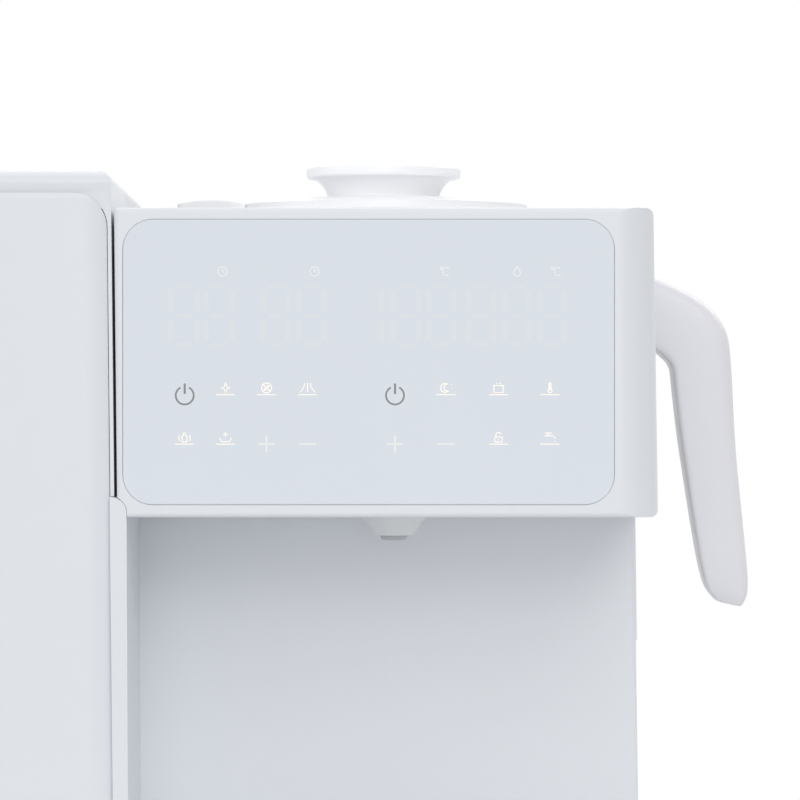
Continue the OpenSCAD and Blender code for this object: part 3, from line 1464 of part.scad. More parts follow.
cabinet_case();
chamber_liner();
rear_cover();
rear_screws();
door_panel();
door_inner();
door_seal();
hinge_pins();
door_magnets();
catch_plates();
uv_board_top();
uv_window_top();
uv_board_rear();
uv_window_rear();
lower_rack();
upper_rack();
air_duct();
air_heater();
fan_frame();
fan_motor();
fan_impeller();
air_filter();
filter_cover();
base_pan();
feet();
bay_deck();
drip_tray();
drip_grille();
bay_cheek();
bay_back();
column_shell();
plinth_shell();
head_shell();
head_floor();
control_glass();
display_board();
nozzle();
nozzle_tip();
kettle_seat();
water_coupler();
coupler_seal();
pump();
pump_motor();
suction_hose();
delivery_hose();
power_board();
mains_inlet();
inlet_pins();
kettle_base();
heating_plate();
kettle_socket();
kettle_valve();
glass_jug();
kettle_collar();
kettle_handle();
kettle_lid();
lid_knob();
lid_seal();
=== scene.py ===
"""Looks of a bottle steriliser joined to a kettle dispenser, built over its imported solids."""
from __future__ import annotations

import json
import logging
import math
from dataclasses import dataclass
from enum import Enum
from typing import Callable, Sequence

import bmesh
import bpy
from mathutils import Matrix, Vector


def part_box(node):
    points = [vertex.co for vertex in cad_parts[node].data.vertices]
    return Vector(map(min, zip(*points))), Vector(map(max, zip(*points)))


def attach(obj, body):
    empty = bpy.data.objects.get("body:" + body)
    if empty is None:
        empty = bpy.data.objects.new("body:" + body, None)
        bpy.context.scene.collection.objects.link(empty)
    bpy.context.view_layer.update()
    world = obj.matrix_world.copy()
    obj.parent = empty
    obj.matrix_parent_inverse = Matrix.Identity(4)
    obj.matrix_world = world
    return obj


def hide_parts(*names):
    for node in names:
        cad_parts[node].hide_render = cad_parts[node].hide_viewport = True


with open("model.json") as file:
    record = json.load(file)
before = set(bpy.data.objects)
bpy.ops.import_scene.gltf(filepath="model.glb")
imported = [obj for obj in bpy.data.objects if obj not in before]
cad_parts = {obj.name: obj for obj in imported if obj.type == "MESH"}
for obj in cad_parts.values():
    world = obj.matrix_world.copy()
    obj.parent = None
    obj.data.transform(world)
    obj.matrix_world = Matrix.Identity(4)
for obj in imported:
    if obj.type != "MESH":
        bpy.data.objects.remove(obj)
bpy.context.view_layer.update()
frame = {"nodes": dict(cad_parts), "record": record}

LOG = logging.getLogger("steriliser")
MM = 0.001
Triple = tuple[float, float, float]
Point = tuple[float, float]
Stroke = list[Point]
Inked = tuple[Stroke, float]
Piece = bpy.types.Object
Socket = bpy.types.NodeSocket
EdgeTest = Callable[[bmesh.types.BMEdge], bool]


class Body(Enum):
    """The rigid bodies that the new pieces ride on."""

    CHASSIS = "chassis"
    DOOR = "door"
    KETTLE = "kettle"
    LID = "lid"


class Slot(Enum):
    """The record's material slots, named with the new pieces."""

    SHELL = "shell"
    WHITE = "white"
    TOUCH_GLASS = "touch_glass"
    GREY = "grey"
    DARK = "dark"


@dataclass(frozen=True)
class View:
    """The photograph's framing, in millimetres: its scale at the front plane and the camera before it."""

    pixels: float = 800
    pixels_per_mm: float = 2.5
    eye_px: float = 345
    eye_py: float = 400
    eye_x: float = 75.45
    eye_z: float = 268
    front_y: float = -142.5
    distance: float = 1700
    sensor: float = 36

    def place(self, px: float, py: float) -> Point:
        """Turn a pixel of the front plane into millimetres across and up."""
        across = self.eye_x + (px - self.eye_px) / self.pixels_per_mm
        return across, self.eye_z + (self.eye_py - py) / self.pixels_per_mm

    def camera(self) -> None:
        """Set the camera square to the front, at the photograph's distance and framing."""
        data = bpy.data.cameras.new("view")
        data.sensor_width = self.sensor
        data.lens = self.sensor * self.distance * self.pixels_per_mm / self.pixels
        data.shift_x = (self.pixels / 2 - self.eye_px) / self.pixels
        camera = bpy.data.objects.new("view", data)
        bpy.context.scene.collection.objects.link(camera)
        camera.location = (self.eye_x * MM, (self.front_y - self.distance) * MM, self.eye_z * MM)
        camera.rotation_euler = (math.radians(90), 0, 0)
        bpy.context.scene.camera = camera


VIEW = View()


def linear(code: str) -> Triple:
    """Turn a six digit display colour into the linear values that the shaders take.

    Args:
        code: red, green and blue as six hexadecimal digits.

    Returns:
        The three linear values, from 0 to 1.
    """
    parts = [int(code[k : k + 2], 16) / 255 for k in (0, 2, 4)]
    return tuple(c / 12.92 if c <= 0.04045 else ((c + 0.055) / 1.055) ** 2.4 for c in parts)


def shade(colour: Triple, by: float) -> Triple:
    """Give a colour made lighter or darker by a factor."""
    return tuple(min(1.0, c * by) for c in colour)


class NodeBoard:
    """A material's node tree with short calls for the few node kinds that the finishes share."""

    NOISE_LOW = 0.3
    NOISE_HIGH = 0.7

    def __init__(self, name: str) -> None:
        """Start a fresh material whose principled shader feeds the output.

        Args:
            name: name of the material.
        """
        self.material = bpy.data.materials.new(name)
        self.material.use_nodes = True
        self.tree = self.material.node_tree
        self.shader = next(n for n in self.tree.nodes if n.type == "BSDF_PRINCIPLED")
        self.place = self.tree.nodes.new("ShaderNodeTexCoord").outputs["Object"]

    def set(self, **values: object) -> None:
        """Set constant values on the shader's own sockets, with underscores for spaces."""
        for key, value in values.items():
            self.shader.inputs[key.replace("_", " ")].default_value = value

    def link(self, source: Socket, socket: str) -> None:
        """Join a node's output to one of the shader's sockets."""
        self.tree.links.new(source, self.shader.inputs[socket])

    def stretched(self, scale: Triple, turn: Triple = (0, 0, 0)) -> Socket:
        """Give object coordinates that are stretched and turned.

        Args:
            scale: how many times finer the pattern is along each axis.
            turn: rotation of the pattern in degrees.

        Returns:
            The vector output to feed a texture.
        """
        mapping = self.tree.nodes.new("ShaderNodeMapping")
        mapping.inputs["Scale"].default_value = scale
        mapping.inputs["Rotation"].default_value = [math.radians(a) for a in turn]
        self.tree.links.new(self.place, mapping.inputs["Vector"])
        return mapping.outputs["Vector"]

    def noise(self, size: float, detail: float = 2.0, where: Socket | None = None) -> Socket:
        """Give soft noise whose blobs are about the given size.

        Args:
            size: blob size in millimetres.
            detail: octaves of finer noise.
            where: coordinates to read, the object's own by default.

        Returns:
            The noise value output.
        """
        node = self.tree.nodes.new("ShaderNodeTexNoise")
        node.inputs["Scale"].default_value = 1 / (size * MM)
        node.inputs["Detail"].default_value = detail
        self.tree.links.new(where or self.place, node.inputs["Vector"])
        return node.outputs["Fac"]

    def tint(self, amount: Socket, tone: Triple, low: float, high: float) -> None:
        """Let a value drift the base colour between two shades of a tone.

        Args:
            amount: the mixing value.
            tone: the linear colour.
            low: factor on the colour at 0.
            high: factor on the colour at 1.
        """
        node = self.tree.nodes.new("ShaderNodeMix")
        node.data_type = "RGBA"
        node.inputs["A"].default_value = (*shade(tone, low), 1)
        node.inputs["B"].default_value = (*shade(tone, high), 1)
        self.tree.links.new(amount, node.inputs["Factor"])
        self.link(node.outputs["Result"], "Base Color")

    def rough(self, value: Socket, low: float, high: float) -> None:
        """Let the middle of a noise value drift the roughness.

        Args:
            value: noise output.
            low: roughness at the noise's low end.
            high: roughness at its high end.
        """
        node = self.tree.nodes.new("ShaderNodeMapRange")
        node.inputs["From Min"].default_value = self.NOISE_LOW
        node.inputs["From Max"].default_value = self.NOISE_HIGH
        node.inputs["To Min"].default_value = low
        node.inputs["To Max"].default_value = high
        self.tree.links.new(value, node.inputs["Value"])
        self.link(node.outputs["Result"], "Roughness")

    def bump(self, height: Socket, strength: float, depth: float) -> None:
        """Feed a height to the shader's normal.

        Args:
            height: the height value.
            strength: how much of it shows.
            depth: how deep it is, in millimetres.
        """
        node = self.tree.nodes.new("ShaderNodeBump")
        node.inputs["Strength"].default_value = strength
        node.inputs["Distance"].default_value = depth * MM
        self.tree.links.new(height, node.inputs["Height"])
        self.link(node.outputs["Normal"], "Normal")


@dataclass(frozen=True)
class Plastic:
    """Moulded plastic with a fine tool grain, a faint drift of shade and a satin sheen."""

    name: str
    colour: str
    roughness: float = 0.42
    grain_mm: float = 0.45
    grain: float = 0.06
    grain_depth: float = 0.02
    cloud_mm: float = 70
    drift: float = 0.006
    rough_by: float = 0.03
    gloss_level: float = 0.45

    def build(self) -> bpy.types.Material:
        """Make the material.

        Returns:
            The new material.
        """
        board = NodeBoard(self.name)
        board.tint(board.noise(self.cloud_mm, 1), linear(self.colour), 1 - self.drift, 1 + self.drift)
        fine = board.noise(self.grain_mm)
        board.rough(fine, self.roughness - self.rough_by, self.roughness + self.rough_by)
        board.set(Specular_IOR_Level=self.gloss_level)
        board.bump(fine, self.grain, self.grain_depth)
        return board.material


@dataclass(frozen=True)
class Metal:
    """Brushed or bead blasted metal with streaks along one axis."""

    name: str
    colour: str
    roughness: float
    streak: Triple
    streak_mm: float = 0.7
    grain: float = 0.12
    grain_depth: float = 0.03
    cloud_mm: float = 20
    darker: float = 0.95
    lighter: float = 1.04
    smoother_by: float = 0.06
    rougher_by: float = 0.08

    def build(self) -> bpy.types.Material:
        """Make the material.

        Returns:
            The new material.
        """
        board = NodeBoard(self.name)
        lines = board.noise(self.streak_mm, 3, board.stretched(self.streak))
        board.tint(board.noise(self.cloud_mm, 3), linear(self.colour), self.darker, self.lighter)
        board.rough(lines, self.roughness - self.smoother_by, self.roughness + self.rougher_by)
        board.set(Metallic=1.0)
        board.bump(lines, self.grain, self.grain_depth)
        return board.material


@dataclass(frozen=True)
class Glass:
    """Clear glass with a faint tint, drawn waves and a few dusty patches."""

    name: str
    colour: str
    roughness: float = 0.02
    ior: float = 1.47
    wave: float = 0.02
    wave_mm: float = 30
    wave_depth: float = 0.2
    cloud_mm: float = 60
    darker: float = 0.985
    lighter: float = 1.01
    dust_mm: float = 14
    dust: float = 0.03

    def build(self) -> bpy.types.Material:
        """Make the material.

        Returns:
            The new material.
        """
        board = NodeBoard(self.name)
        board.tint(board.noise(self.cloud_mm), linear(self.colour), self.darker, self.lighter)
        board.rough(board.noise(self.dust_mm, 4), self.roughness, self.roughness + self.dust)
        board.set(Transmission_Weight=1.0, IOR=self.ior)
        board.bump(board.noise(self.wave_mm, 1), self.wave, self.wave_depth)
        return board.material


@dataclass(frozen=True)
class Enamel:
    """Back painted glass of the touch panel: flat, cool paint under a clear sheet."""

    name: str
    colour: str
    roughness: float = 0.6
    rough_mm: float = 40
    rough_by: float = 0.02
    cloud_mm: float = 55
    drift: float = 0.01
    sheen: float = 0.2
    coat: float = 0.5
    coat_roughness: float = 0.05
    grain_mm: float = 0.8
    grain: float = 0.03
    grain_depth: float = 0.02

    def build(self) -> bpy.types.Material:
        """Make the material.

        Returns:
            The new material.
        """
        board = NodeBoard(self.name)
        board.tint(board.noise(self.cloud_mm, 3), linear(self.colour), 1 - self.drift, 1 + self.drift)
        patches = board.noise(self.rough_mm, 1)
        board.rough(patches, self.roughness - self.rough_by, self.roughness + self.rough_by)
        board.set(Specular_IOR_Level=self.sheen, Coat_Weight=self.coat, Coat_Roughness=self.coat_roughness)
        board.bump(board.noise(self.grain_mm), self.grain, self.grain_depth)
        return board.material


@dataclass(frozen=True)
class Backlit:
    """Print that a small lamp behind the glass shines through."""

    name: str
    colour: str
    glow: float
    roughness: float = 0.5
    cloud_mm: float = 4
    darker: float = 0.985

    def build(self) -> bpy.types.Material:
        """Make the material.

        Returns:
            The new material.
        """
        board = NodeBoard(self.name)
        tone = linear(self.colour)
        board.tint(board.noise(self.cloud_mm), tone, self.darker, 1)
        board.set(Roughness=self.roughness, Emission_Color=(*tone, 1), Emission_Strength=self.glow)
        return board.material


@dataclass(frozen=True)
class Rubber:
    """Soft rubber or silicone with a dull, slightly dusty surface."""

    name: str
    colour: str
    roughness: float = 0.7
    see_through: float = 0.0
    rough_by: float = 0.08
    dust_mm: float = 3
    darker: float = 0.9
    lighter: float = 1.12
    sheen: float = 0.3
    grain_mm: float = 0.6
    grain: float = 0.2
    grain_depth: float = 0.05

    def build(self) -> bpy.types.Material:
        """Make the material.

        Returns:
            The new material.
        """
        board = NodeBoard(self.name)
        dust = board.noise(self.dust_mm, 4)
        board.tint(dust, linear(self.colour), self.darker, self.lighter)
        board.rough(dust, self.roughness - self.rough_by, self.roughness + self.rough_by)
        board.set(Specular_IOR_Level=self.sheen, Transmission_Weight=self.see_through)
        board.bump(board.noise(self.grain_mm, 3), self.grain, self.grain_depth)
        return board.material


@dataclass(frozen=True)
class CircuitBoard:
    """Lacquered board with a weave of fine tracks under the resist."""

    name: str
    colour: str
    track: str
    tracks_per_metre: float = 160
    track_width: float = 0.03
    darker: float = 0.85
    cloud_mm: float = 6
    smooth: float = 0.3
    rough: float = 0.45
    relief: float = 0.2
    relief_depth: float = 0.05

    def build(self) -> bpy.types.Material:
        """Make the material.

        Returns:
            The new material.
        """
        board = NodeBoard(self.name)
        tone = linear(self.colour)
        tracks = board.tree.nodes.new("ShaderNodeTexBrick")
        tracks.inputs["Scale"].default_value = self.tracks_per_metre
        tracks.inputs["Mortar Size"].default_value = self.track_width
        tracks.inputs["Color1"].default_value = (*tone, 1)
        tracks.inputs["Color2"].default_value = (*shade(tone, self.darker), 1)
        tracks.inputs["Mortar"].default_value = (*linear(self.track), 1)
        board.tree.links.new(board.stretched((1, 1, 1), (90, 0, 0)), tracks.inputs["Vector"])
        board.link(tracks.outputs["Color"], "Base Color")
        board.rough(board.noise(self.cloud_mm, 3), self.smooth, self.rough)
        board.bump(tracks.outputs["Fac"], self.relief, self.relief_depth)
        return board.material


@dataclass(frozen=True)
class Softbox:
    """One square lamp: its place and side in metres, and its power in watts."""

    name: str
    place: Triple
    size: float
    power: float

    def hang(self, aim: Triple) -> None:
        """Hang the lamp so that it faces a point.

        Args:
            aim: the point, in metres.
        """
        light = bpy.data.lights.new(self.name, "AREA")
        light.size = self.size
        light.energy = self.power
        lamp = bpy.data.objects.new(self.name, light)
        bpy.context.scene.collection.objects.link(lamp)
        lamp.location = self.place
        lamp.rotation_euler = (Vector(aim) - Vector(self.place)).to_track_quat("-Z", "Y").to_euler()


@dataclass
class Stage:
    """Floor, light and camera, none of which is part of the machine. Lengths are in metres."""

    floor_solid: float = 0.36
    floor_reach: float = 0.8
    floor_sides: int = 96
    floor_colour: str = "F4F4F4"
    floor_darker: float = 0.99
    floor_cloud_mm: float = 30
    floor_roughness: float = 0.85
    floor_sheen: float = 0.1
    room_light: float = 0.44
    room_seen: float = 1.0
    aim: Triple = (0.05, 0, 0.25)
    lamps: tuple[Softbox, ...] = (
        Softbox("key", (0.6, -2.3, 1.5), 1.6, 19.6),
        Softbox("front", (0.1, -2.6, 0.7), 1.2, 7.9),
        Softbox("top", (0.2, 0.1, 2.2), 1.6, 6.5),
        Softbox("rim", (1.4, 1.0, 1.7), 1.2, 11),
        Softbox("side", (-1.9, -0.4, 1.1), 1.2, 9.5),
        Softbox("rear", (0.1, 1.7, 1.5), 1.4, 5),
    )

    def floor(self) -> None:
        """Lay a pale floor that fades out to the white room."""
        bpy.ops.object.select_all(action="DESELECT")
        bpy.ops.mesh.primitive_circle_add(
            vertices=self.floor_sides, radius=self.floor_reach, fill_type="NGON", location=(0, 0, 0)
        )
        floor = bpy.context.object
        floor.name = "floor"
        board = NodeBoard("floor_paper")
        board.tint(board.noise(self.floor_cloud_mm, 3), linear(self.floor_colour), self.floor_darker, 1)
        board.set(Roughness=self.floor_roughness, Specular_IOR_Level=self.floor_sheen)
        reach = board.tree.nodes.new("ShaderNodeVectorMath")
        reach.operation = "LENGTH"
        board.tree.links.new(board.place, reach.inputs[0])
        fade = board.tree.nodes.new("ShaderNodeMapRange")
        fade.interpolation_type = "SMOOTHSTEP"
        fade.inputs["From Min"].default_value = self.floor_solid
        fade.inputs["From Max"].default_value = self.floor_reach
        fade.inputs["To Min"].default_value = 1.0
        fade.inputs["To Max"].default_value = 0.0
        board.tree.links.new(reach.outputs["Value"], fade.inputs["Value"])
        board.link(fade.outputs["Result"], "Alpha")
        floor.data.materials.append(board.material)

    def world(self) -> None:
        """Light the room softly and show it white to the camera, to gloss and through glass."""
        world = bpy.data.worlds.new("room")
        bpy.context.scene.world = world
        world.use_nodes = True
        tree = world.node_tree
        back = next(n for n in tree.nodes if n.type == "BACKGROUND")
        back.inputs["Color"].default_value = (1, 1, 1, 1)
        path = tree.nodes.new("ShaderNodeLightPath")
        seen = path.outputs["Is Camera Ray"]
        for kind in ("Is Glossy Ray", "Is Transmission Ray"):
            both = tree.nodes.new("ShaderNodeMath")
            both.operation = "MAXIMUM"
            tree.links.new(seen, both.inputs[0])
            tree.links.new(path.outputs[kind], both.inputs[1])
            seen = both.outputs[0]
        level = tree.nodes.new("ShaderNodeMapRange")
        level.inputs["To Min"].default_value = self.room_light
        level.inputs["To Max"].default_value = self.room_seen
        tree.links.new(seen, level.inputs["Value"])
        tree.links.new(level.outputs["Result"], back.inputs["Strength"])

    def build(self) -> None:
        """Set up the whole stage."""
        bpy.context.scene.view_settings.view_transform = "Standard"
        VIEW.camera()
        self.floor()
        self.world()
        for lamp in self.lamps:
            lamp.hang(self.aim)


class Bench:
    """Short calls for modelling one piece at a time with Blender's own operators."""

    MERGE = 2e-6
    WELD = 1e-6
    FACE_WEIGHT = 100
    FLAT = math.radians(0.3)
    SHARP = math.radians(38)

    @staticmethod
    def clear() -> None:
        """Leave edit mode and deselect everything."""
        if bpy.context.object and bpy.context.object.mode != "OBJECT":
            bpy.ops.object.mode_set(mode="OBJECT")
        bpy.ops.object.select_all(action="DESELECT")

    @staticmethod
    def take(piece: Piece) -> None:
        """Make one piece the only selected and active object.

        Args:
            piece: the piece to take.
        """
        Bench.clear()
        piece.select_set(True)
        bpy.context.view_layer.objects.active = piece

    @staticmethod
    def edit(piece: Piece, kind: str = "EDGE") -> bmesh.types.BMesh:
        """Open a piece in edit mode with nothing selected.

        Args:
            piece: the piece to open.
            kind: VERT, EDGE or FACE selection.

        Returns:
            The edit mesh, whose parts are selected by their place.
        """
        Bench.take(piece)
        bpy.ops.object.mode_set(mode="EDIT")
        bpy.ops.mesh.select_mode(type=kind)
        bpy.ops.mesh.select_all(action="DESELECT")
        mesh = bmesh.from_edit_mesh(piece.data)
        mesh.normal_update()
        return mesh

    @staticmethod
    def show(piece: Piece, mesh: bmesh.types.BMesh) -> None:
        """Pass a selection made in code on to the operators."""
        mesh.select_flush_mode()
        bmesh.update_edit_mesh(piece.data)

    @staticmethod
    def close(piece: Piece, angle: float = 35.0) -> None:
        """Smooth the flatter edges of a piece, with its large faces kept flat.

        Args:
            piece: the piece to finish.
            angle: edges flatter than this, in degrees, are smoothed.
        """
        Bench.take(piece)
        bpy.ops.object.shade_smooth_by_angle(angle=math.radians(angle))
        weigh = piece.modifiers.new("weigh", "WEIGHTED_NORMAL")
        weigh.weight = Bench.FACE_WEIGHT
        weigh.keep_sharp = True
        bpy.ops.object.modifier_apply(modifier="weigh")
        Bench.clear()

    @staticmethod
    def copy_of(node: str, name: str) -> Piece:
        """Copy a solid's mesh into a new piece, merged, with its flat faces made whole.

        Args:
            node: the solid to copy.
            name: name of the new piece.

        Returns:
            The new piece, in object mode.
        """
        mesh = frame["nodes"][node].data.copy()
        piece = bpy.data.objects.new(name, mesh)
        bpy.context.scene.collection.objects.link(piece)
        Bench.take(piece)
        bpy.ops.mesh.customdata_custom_splitnormals_clear()
        bpy.ops.object.mode_set(mode="EDIT")
        bpy.ops.mesh.select_all(action="SELECT")
        bpy.ops.mesh.remove_doubles(threshold=Bench.MERGE)
        bpy.ops.mesh.dissolve_limited(angle_limit=Bench.FLAT)
        bpy.ops.object.mode_set(mode="OBJECT")
        return piece

    @staticmethod
    def cut(place: Triple, normal: Triple) -> None:
        """Cut the piece in edit mode along a plane and keep both sides.

        Args:
            place: a point of the plane, in metres.
            normal: the plane's direction.
        """
        bpy.ops.mesh.select_all(action="SELECT")
        bpy.ops.mesh.bisect(plane_co=place, plane_no=normal)

    @staticmethod
    def reshape(piece: Piece, change: Callable[[Vector], None]) -> None:
        """Let a function move the points of a piece, and return to object mode.

        Args:
            piece: the piece to work on.
            change: is given each point's place and may change it.
        """
        mesh = Bench.edit(piece, "VERT")
        for vert in mesh.verts:
            change(vert.co)
        Bench.show(piece, mesh)
        bpy.ops.object.mode_set(mode="OBJECT")

    @staticmethod
    def round_edges(piece: Piece, test: EdgeTest, width: float, steps: int = 3) -> None:
        """Round the sharp edges that pass a test.

        Args:
            piece: the piece to work on.
            test: says of an edge whether it is rounded.
            width: how far the round reaches, in millimetres.
            steps: faces across the round.
        """
        mesh = Bench.edit(piece)
        sharp = [e for e in mesh.edges if len(e.link_faces) == 2 and e.calc_face_angle(0) > Bench.SHARP]
        chosen = [edge for edge in sharp if test(edge)]
        for edge in chosen:
            edge.select_set(True)
        Bench.show(piece, mesh)
        if chosen:
            bpy.ops.mesh.bevel(
                offset=width * MM, offset_type="OFFSET", segments=steps, affect="EDGES", clamp_overlap=True
            )
        bpy.ops.object.mode_set(mode="OBJECT")

    @staticmethod
    def turned(name: str, axis: Point, outline: Stroke, steps: int = 96) -> Piece:
        """Turn an outline round an upright axis, as on a lathe.

        Args:
            name: name of the new piece.
            axis: where the axis stands, x and y in millimetres.
            outline: radius and height of each point in millimetres, from the axis's top to its foot.
            steps: faces round the turn.

        Returns:
            The closed piece, with its faces outwards.
        """
        Bench.clear()
        place = (axis[0] * MM, axis[1] * MM, 0)
        bpy.ops.mesh.primitive_plane_add(size=MM, location=place)
        piece = bpy.context.object
        piece.name = name
        bpy.ops.object.transform_apply(location=True, rotation=True, scale=True)
        mesh = Bench.edit(piece, "VERT")
        bmesh.ops.delete(mesh, geom=list(mesh.verts), context="VERTS")
        chain = [mesh.verts.new((place[0] + r * MM, place[1], z * MM)) for r, z in outline]
        for first, second in zip(chain, chain[1:]):
            mesh.edges.new((first, second))
        Bench.show(piece, mesh)
        bpy.ops.mesh.select_all(action="SELECT")
        bpy.ops.mesh.spin(steps=steps, angle=math.tau, center=place, axis=(0, 0, 1))
        bpy.ops.mesh.select_all(action="SELECT")
        bpy.ops.mesh.remove_doubles(threshold=Bench.WELD)
        bpy.ops.mesh.normals_make_consistent(inside=False)
        bpy.ops.object.mode_set(mode="OBJECT")
        return piece


def span(node: str) -> tuple[Vector, Vector]:
    """Give a solid's lowest and highest corners in millimetres."""
    low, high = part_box(node)
    return low / MM, high / MM


def ring(x: float, y: float, radius: float, start: float = 0, end: float = 360, steps: int = 20) -> Stroke:
    """Give points round a circle, in degrees from the right, upwards positive.

    Args:
        x: centre across.
        y: centre up.
        radius: radius.
        start: first angle.
        end: last angle.
        steps: spaces between points.

    Returns:
        The points from start to end.
    """
    turns = [math.radians(start + (end - start) * k / steps) for k in range(steps + 1)]
    return [(x + radius * math.cos(a), y + radius * math.sin(a)) for a in turns]


@dataclass
class SubAssembly:
    """A group of pieces with the finishes that they share. Lengths are in millimetres."""

    finishes: dict[str, bpy.types.Material]

    def fit(self, piece: Piece, body: Body, slot: Slot, finish: str, nodes: Sequence[str] = ()) -> None:
        """Give a piece its finish and its place in the machine.

        Args:
            piece: the finished piece.
            body: the body that it rides on.
            slot: the record's slot for the piece; not used.
            finish: name of the finish.
            nodes: solids that it stands for.
        """
        piece.data.materials.clear()
        piece.data.materials.append(self.finishes[finish])
        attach(piece, body.value)
        if nodes:
            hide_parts(*nodes)
        LOG.info("piece %s on %s: %d faces", piece.name, body.value, len(piece.data.polygons))

    def dress(self, finish: str, *nodes: str) -> None:
        """Give kept solids a finish.

        Args:
            finish: name of the finish.
            nodes: the solids.
        """
        for node in nodes:
            for holder in frame["nodes"][node].material_slots:
                holder.material = self.finishes[finish]
            LOG.info("solid %s: %s", node, finish)


@dataclass
class Nozzle(SubAssembly):
    """The water nozzle under the head."""

    tip_round: float = 1.7
    tip_steps: int = 6
    foot_depth: float = 0.1
    rim_share: float = 0.9

    def build(self) -> None:
        """Dress the nozzle and round the lower rim of its tip."""
        self.dress("spout", "nozzle")
        piece = Bench.copy_of("nozzle_tip", "tip_skin")
        low, high = span("nozzle_tip")
        middle = (low + high) / 2 * MM
        rim = self.rim_share * (high.x - low.x) / 2 * MM
        foot = (low.z + self.foot_depth) * MM

        def lower_rim(edge: bmesh.types.BMEdge) -> bool:
            """Say whether an edge lies on the outer rim of the tip's foot."""
            return all((v.co - middle).xy.length > rim and v.co.z < foot for v in edge.verts)

        Bench.round_edges(piece, lower_rim, self.tip_round, self.tip_steps)
        Bench.close(piece)
        self.fit(piece, Body.CHASSIS, Slot.GREY, "grey", ["nozzle_tip"])


@dataclass
class Cabinet(SubAssembly):
    """The steriliser's case, its hinged door and the cheek beside it.

    The band is the case's front over the door. The lip is drawn up from the door's top over the seam.
    The brow is the height over which the door's top leans back.
    """

    front_depth: float = 0.2
    flush: float = 0.01
    rim_round: float = 0.5
    door_gap: float = 0.3
    corner: float = 13.65
    band: float = 4.0
    band_dip: float = 0.6
    band_edge: float = 0.1
    lip: float = 0.34
    lip_depth: float = 1.85
    lip_slope: float = 0.3
    brow: float = 2.2
    brow_cuts: Triple = (0.33, 0.65, 1.0)
    brow_dip: float = 0.75
    brow_reach: float = 1.3
    top_round: float = 1.2
    top_depth: float = 0.05
    top_margin: float = 0.5
    cheek_round: float = 0.8
    cheek_grow: float = 0.2
    round_steps: int = 4

    def case(self) -> None:
        """Dip the band over the door towards the seam, and round the case's rim."""
        piece = Bench.copy_of("cabinet_case", "case_skin")
        low, _ = span("cabinet_case")
        _, door = span("door_panel")
        front = (low.y + self.front_depth) * MM
        seam = door.z + self.door_gap
        Bench.edit(piece, "FACE")
        Bench.cut((0, 0, (seam + self.band / 2) * MM), (0, 0, 1))
        bpy.ops.mesh.select_all(action="SELECT")
        bpy.ops.mesh.quads_convert_to_tris(quad_method="BEAUTY", ngon_method="BEAUTY")

        def dip(co: Vector) -> None:
            """Press a point of the band back, most at the seam, and less down the corner.

            Args:
                co: the point's place, changed in place.
            """
            rise = co.z / MM - seam
            if co.y < (low.y + self.flush) * MM and -self.corner < rise < self.band - self.band_edge:
                share = 1 - rise / self.band if rise > 0 else 1 + rise / self.corner
                co.y += self.band_dip * min(1.0, share) ** 2 * MM

        Bench.reshape(piece, dip)
        Bench.round_edges(piece, lambda edge: all(v.co.y < front for v in edge.verts), self.rim_round)
        Bench.close(piece)
        self.fit(piece, Body.CHASSIS, Slot.SHELL, "shell", ["cabinet_case"])

    def door(self) -> None:
        """Draw the door's top edge up into a lip that covers the seam, and lean it back."""
        piece = Bench.copy_of("door_panel", "door_skin")
        low, high = span("door_panel")
        cut = (low.y + self.lip_depth) * MM
        corner = (high.z - self.corner) * MM
        Bench.edit(piece, "FACE")
        Bench.cut((0, cut, 0), (0, 1, 0))
        mesh = Bench.edit(piece, "FACE")
        for face in mesh.faces:
            upward = face.normal.z > self.lip_slope and all(v.co.z > corner for v in face.verts)
            face.select_set(upward and face.calc_center_median().y < cut)
        Bench.show(piece, mesh)
        grow = {"value": self.lip * MM, "use_even_offset": True}
        bpy.ops.mesh.extrude_region_shrink_fatten(TRANSFORM_OT_shrink_fatten=grow)
        bpy.ops.mesh.select_all(action="SELECT")
        bpy.ops.mesh.dissolve_limited(angle_limit=Bench.FLAT)
        crest = high.z + self.lip
        for part in self.brow_cuts:
            Bench.cut((0, 0, (crest - part * self.brow) * MM), (0, 0, 1))

        def lean(co: Vector) -> None:
            """Press a point of the door's front back, most at the crest.

            Args:
                co: the point's place, changed in place.
            """
            share = 1 - (crest - co.z / MM) / self.brow
            if co.y / MM < low.y + self.brow_reach and share > 0:
                co.y += self.brow_dip * share**2 * MM

        Bench.reshape(piece, lean)
        crown = (crest - self.top_depth) * MM
        behind = cut - self.top_margin * MM

        def top_edge(edge: bmesh.types.BMEdge) -> bool:
            """Say whether an edge runs along the front of the door's top."""
            return all(v.co.z > crown and v.co.y < behind for v in edge.verts)

        Bench.round_edges(piece, top_edge, self.top_round, self.round_steps)
        Bench.close(piece)
        self.fit(piece, Body.DOOR, Slot.SHELL, "shell", ["door_panel"])

    def cheek(self) -> None:
        """Bring the cheek nearer to the door, and round its other front edges."""
        piece = Bench.copy_of("bay_cheek", "cheek_skin")
        low, high = span("bay_cheek")
        front = (low.y + self.front_depth) * MM
        middle = (low.x + high.x) / 2 * MM

        def grow(co: Vector) -> None:
            """Move a point of the front edge beside the door towards it."""
            if co.y < front and co.x < middle:
                co.x -= self.cheek_grow * MM

        Bench.reshape(piece, grow)

        def free_edge(edge: bmesh.types.BMEdge) -> bool:
            """Say whether an edge lies on the cheek's front, away from the door."""
            ends = edge.verts
            return all(v.co.y < front for v in ends) and any(v.co.x > middle for v in ends)

        Bench.round_edges(piece, free_edge, self.cheek_round, self.round_steps)
        Bench.close(piece)
        self.fit(piece, Body.CHASSIS, Slot.SHELL, "shell", ["bay_cheek"])

    def build(self) -> None:
        """Build the case, the door and the cheek."""
        self.case()
        self.door()
        self.cheek()


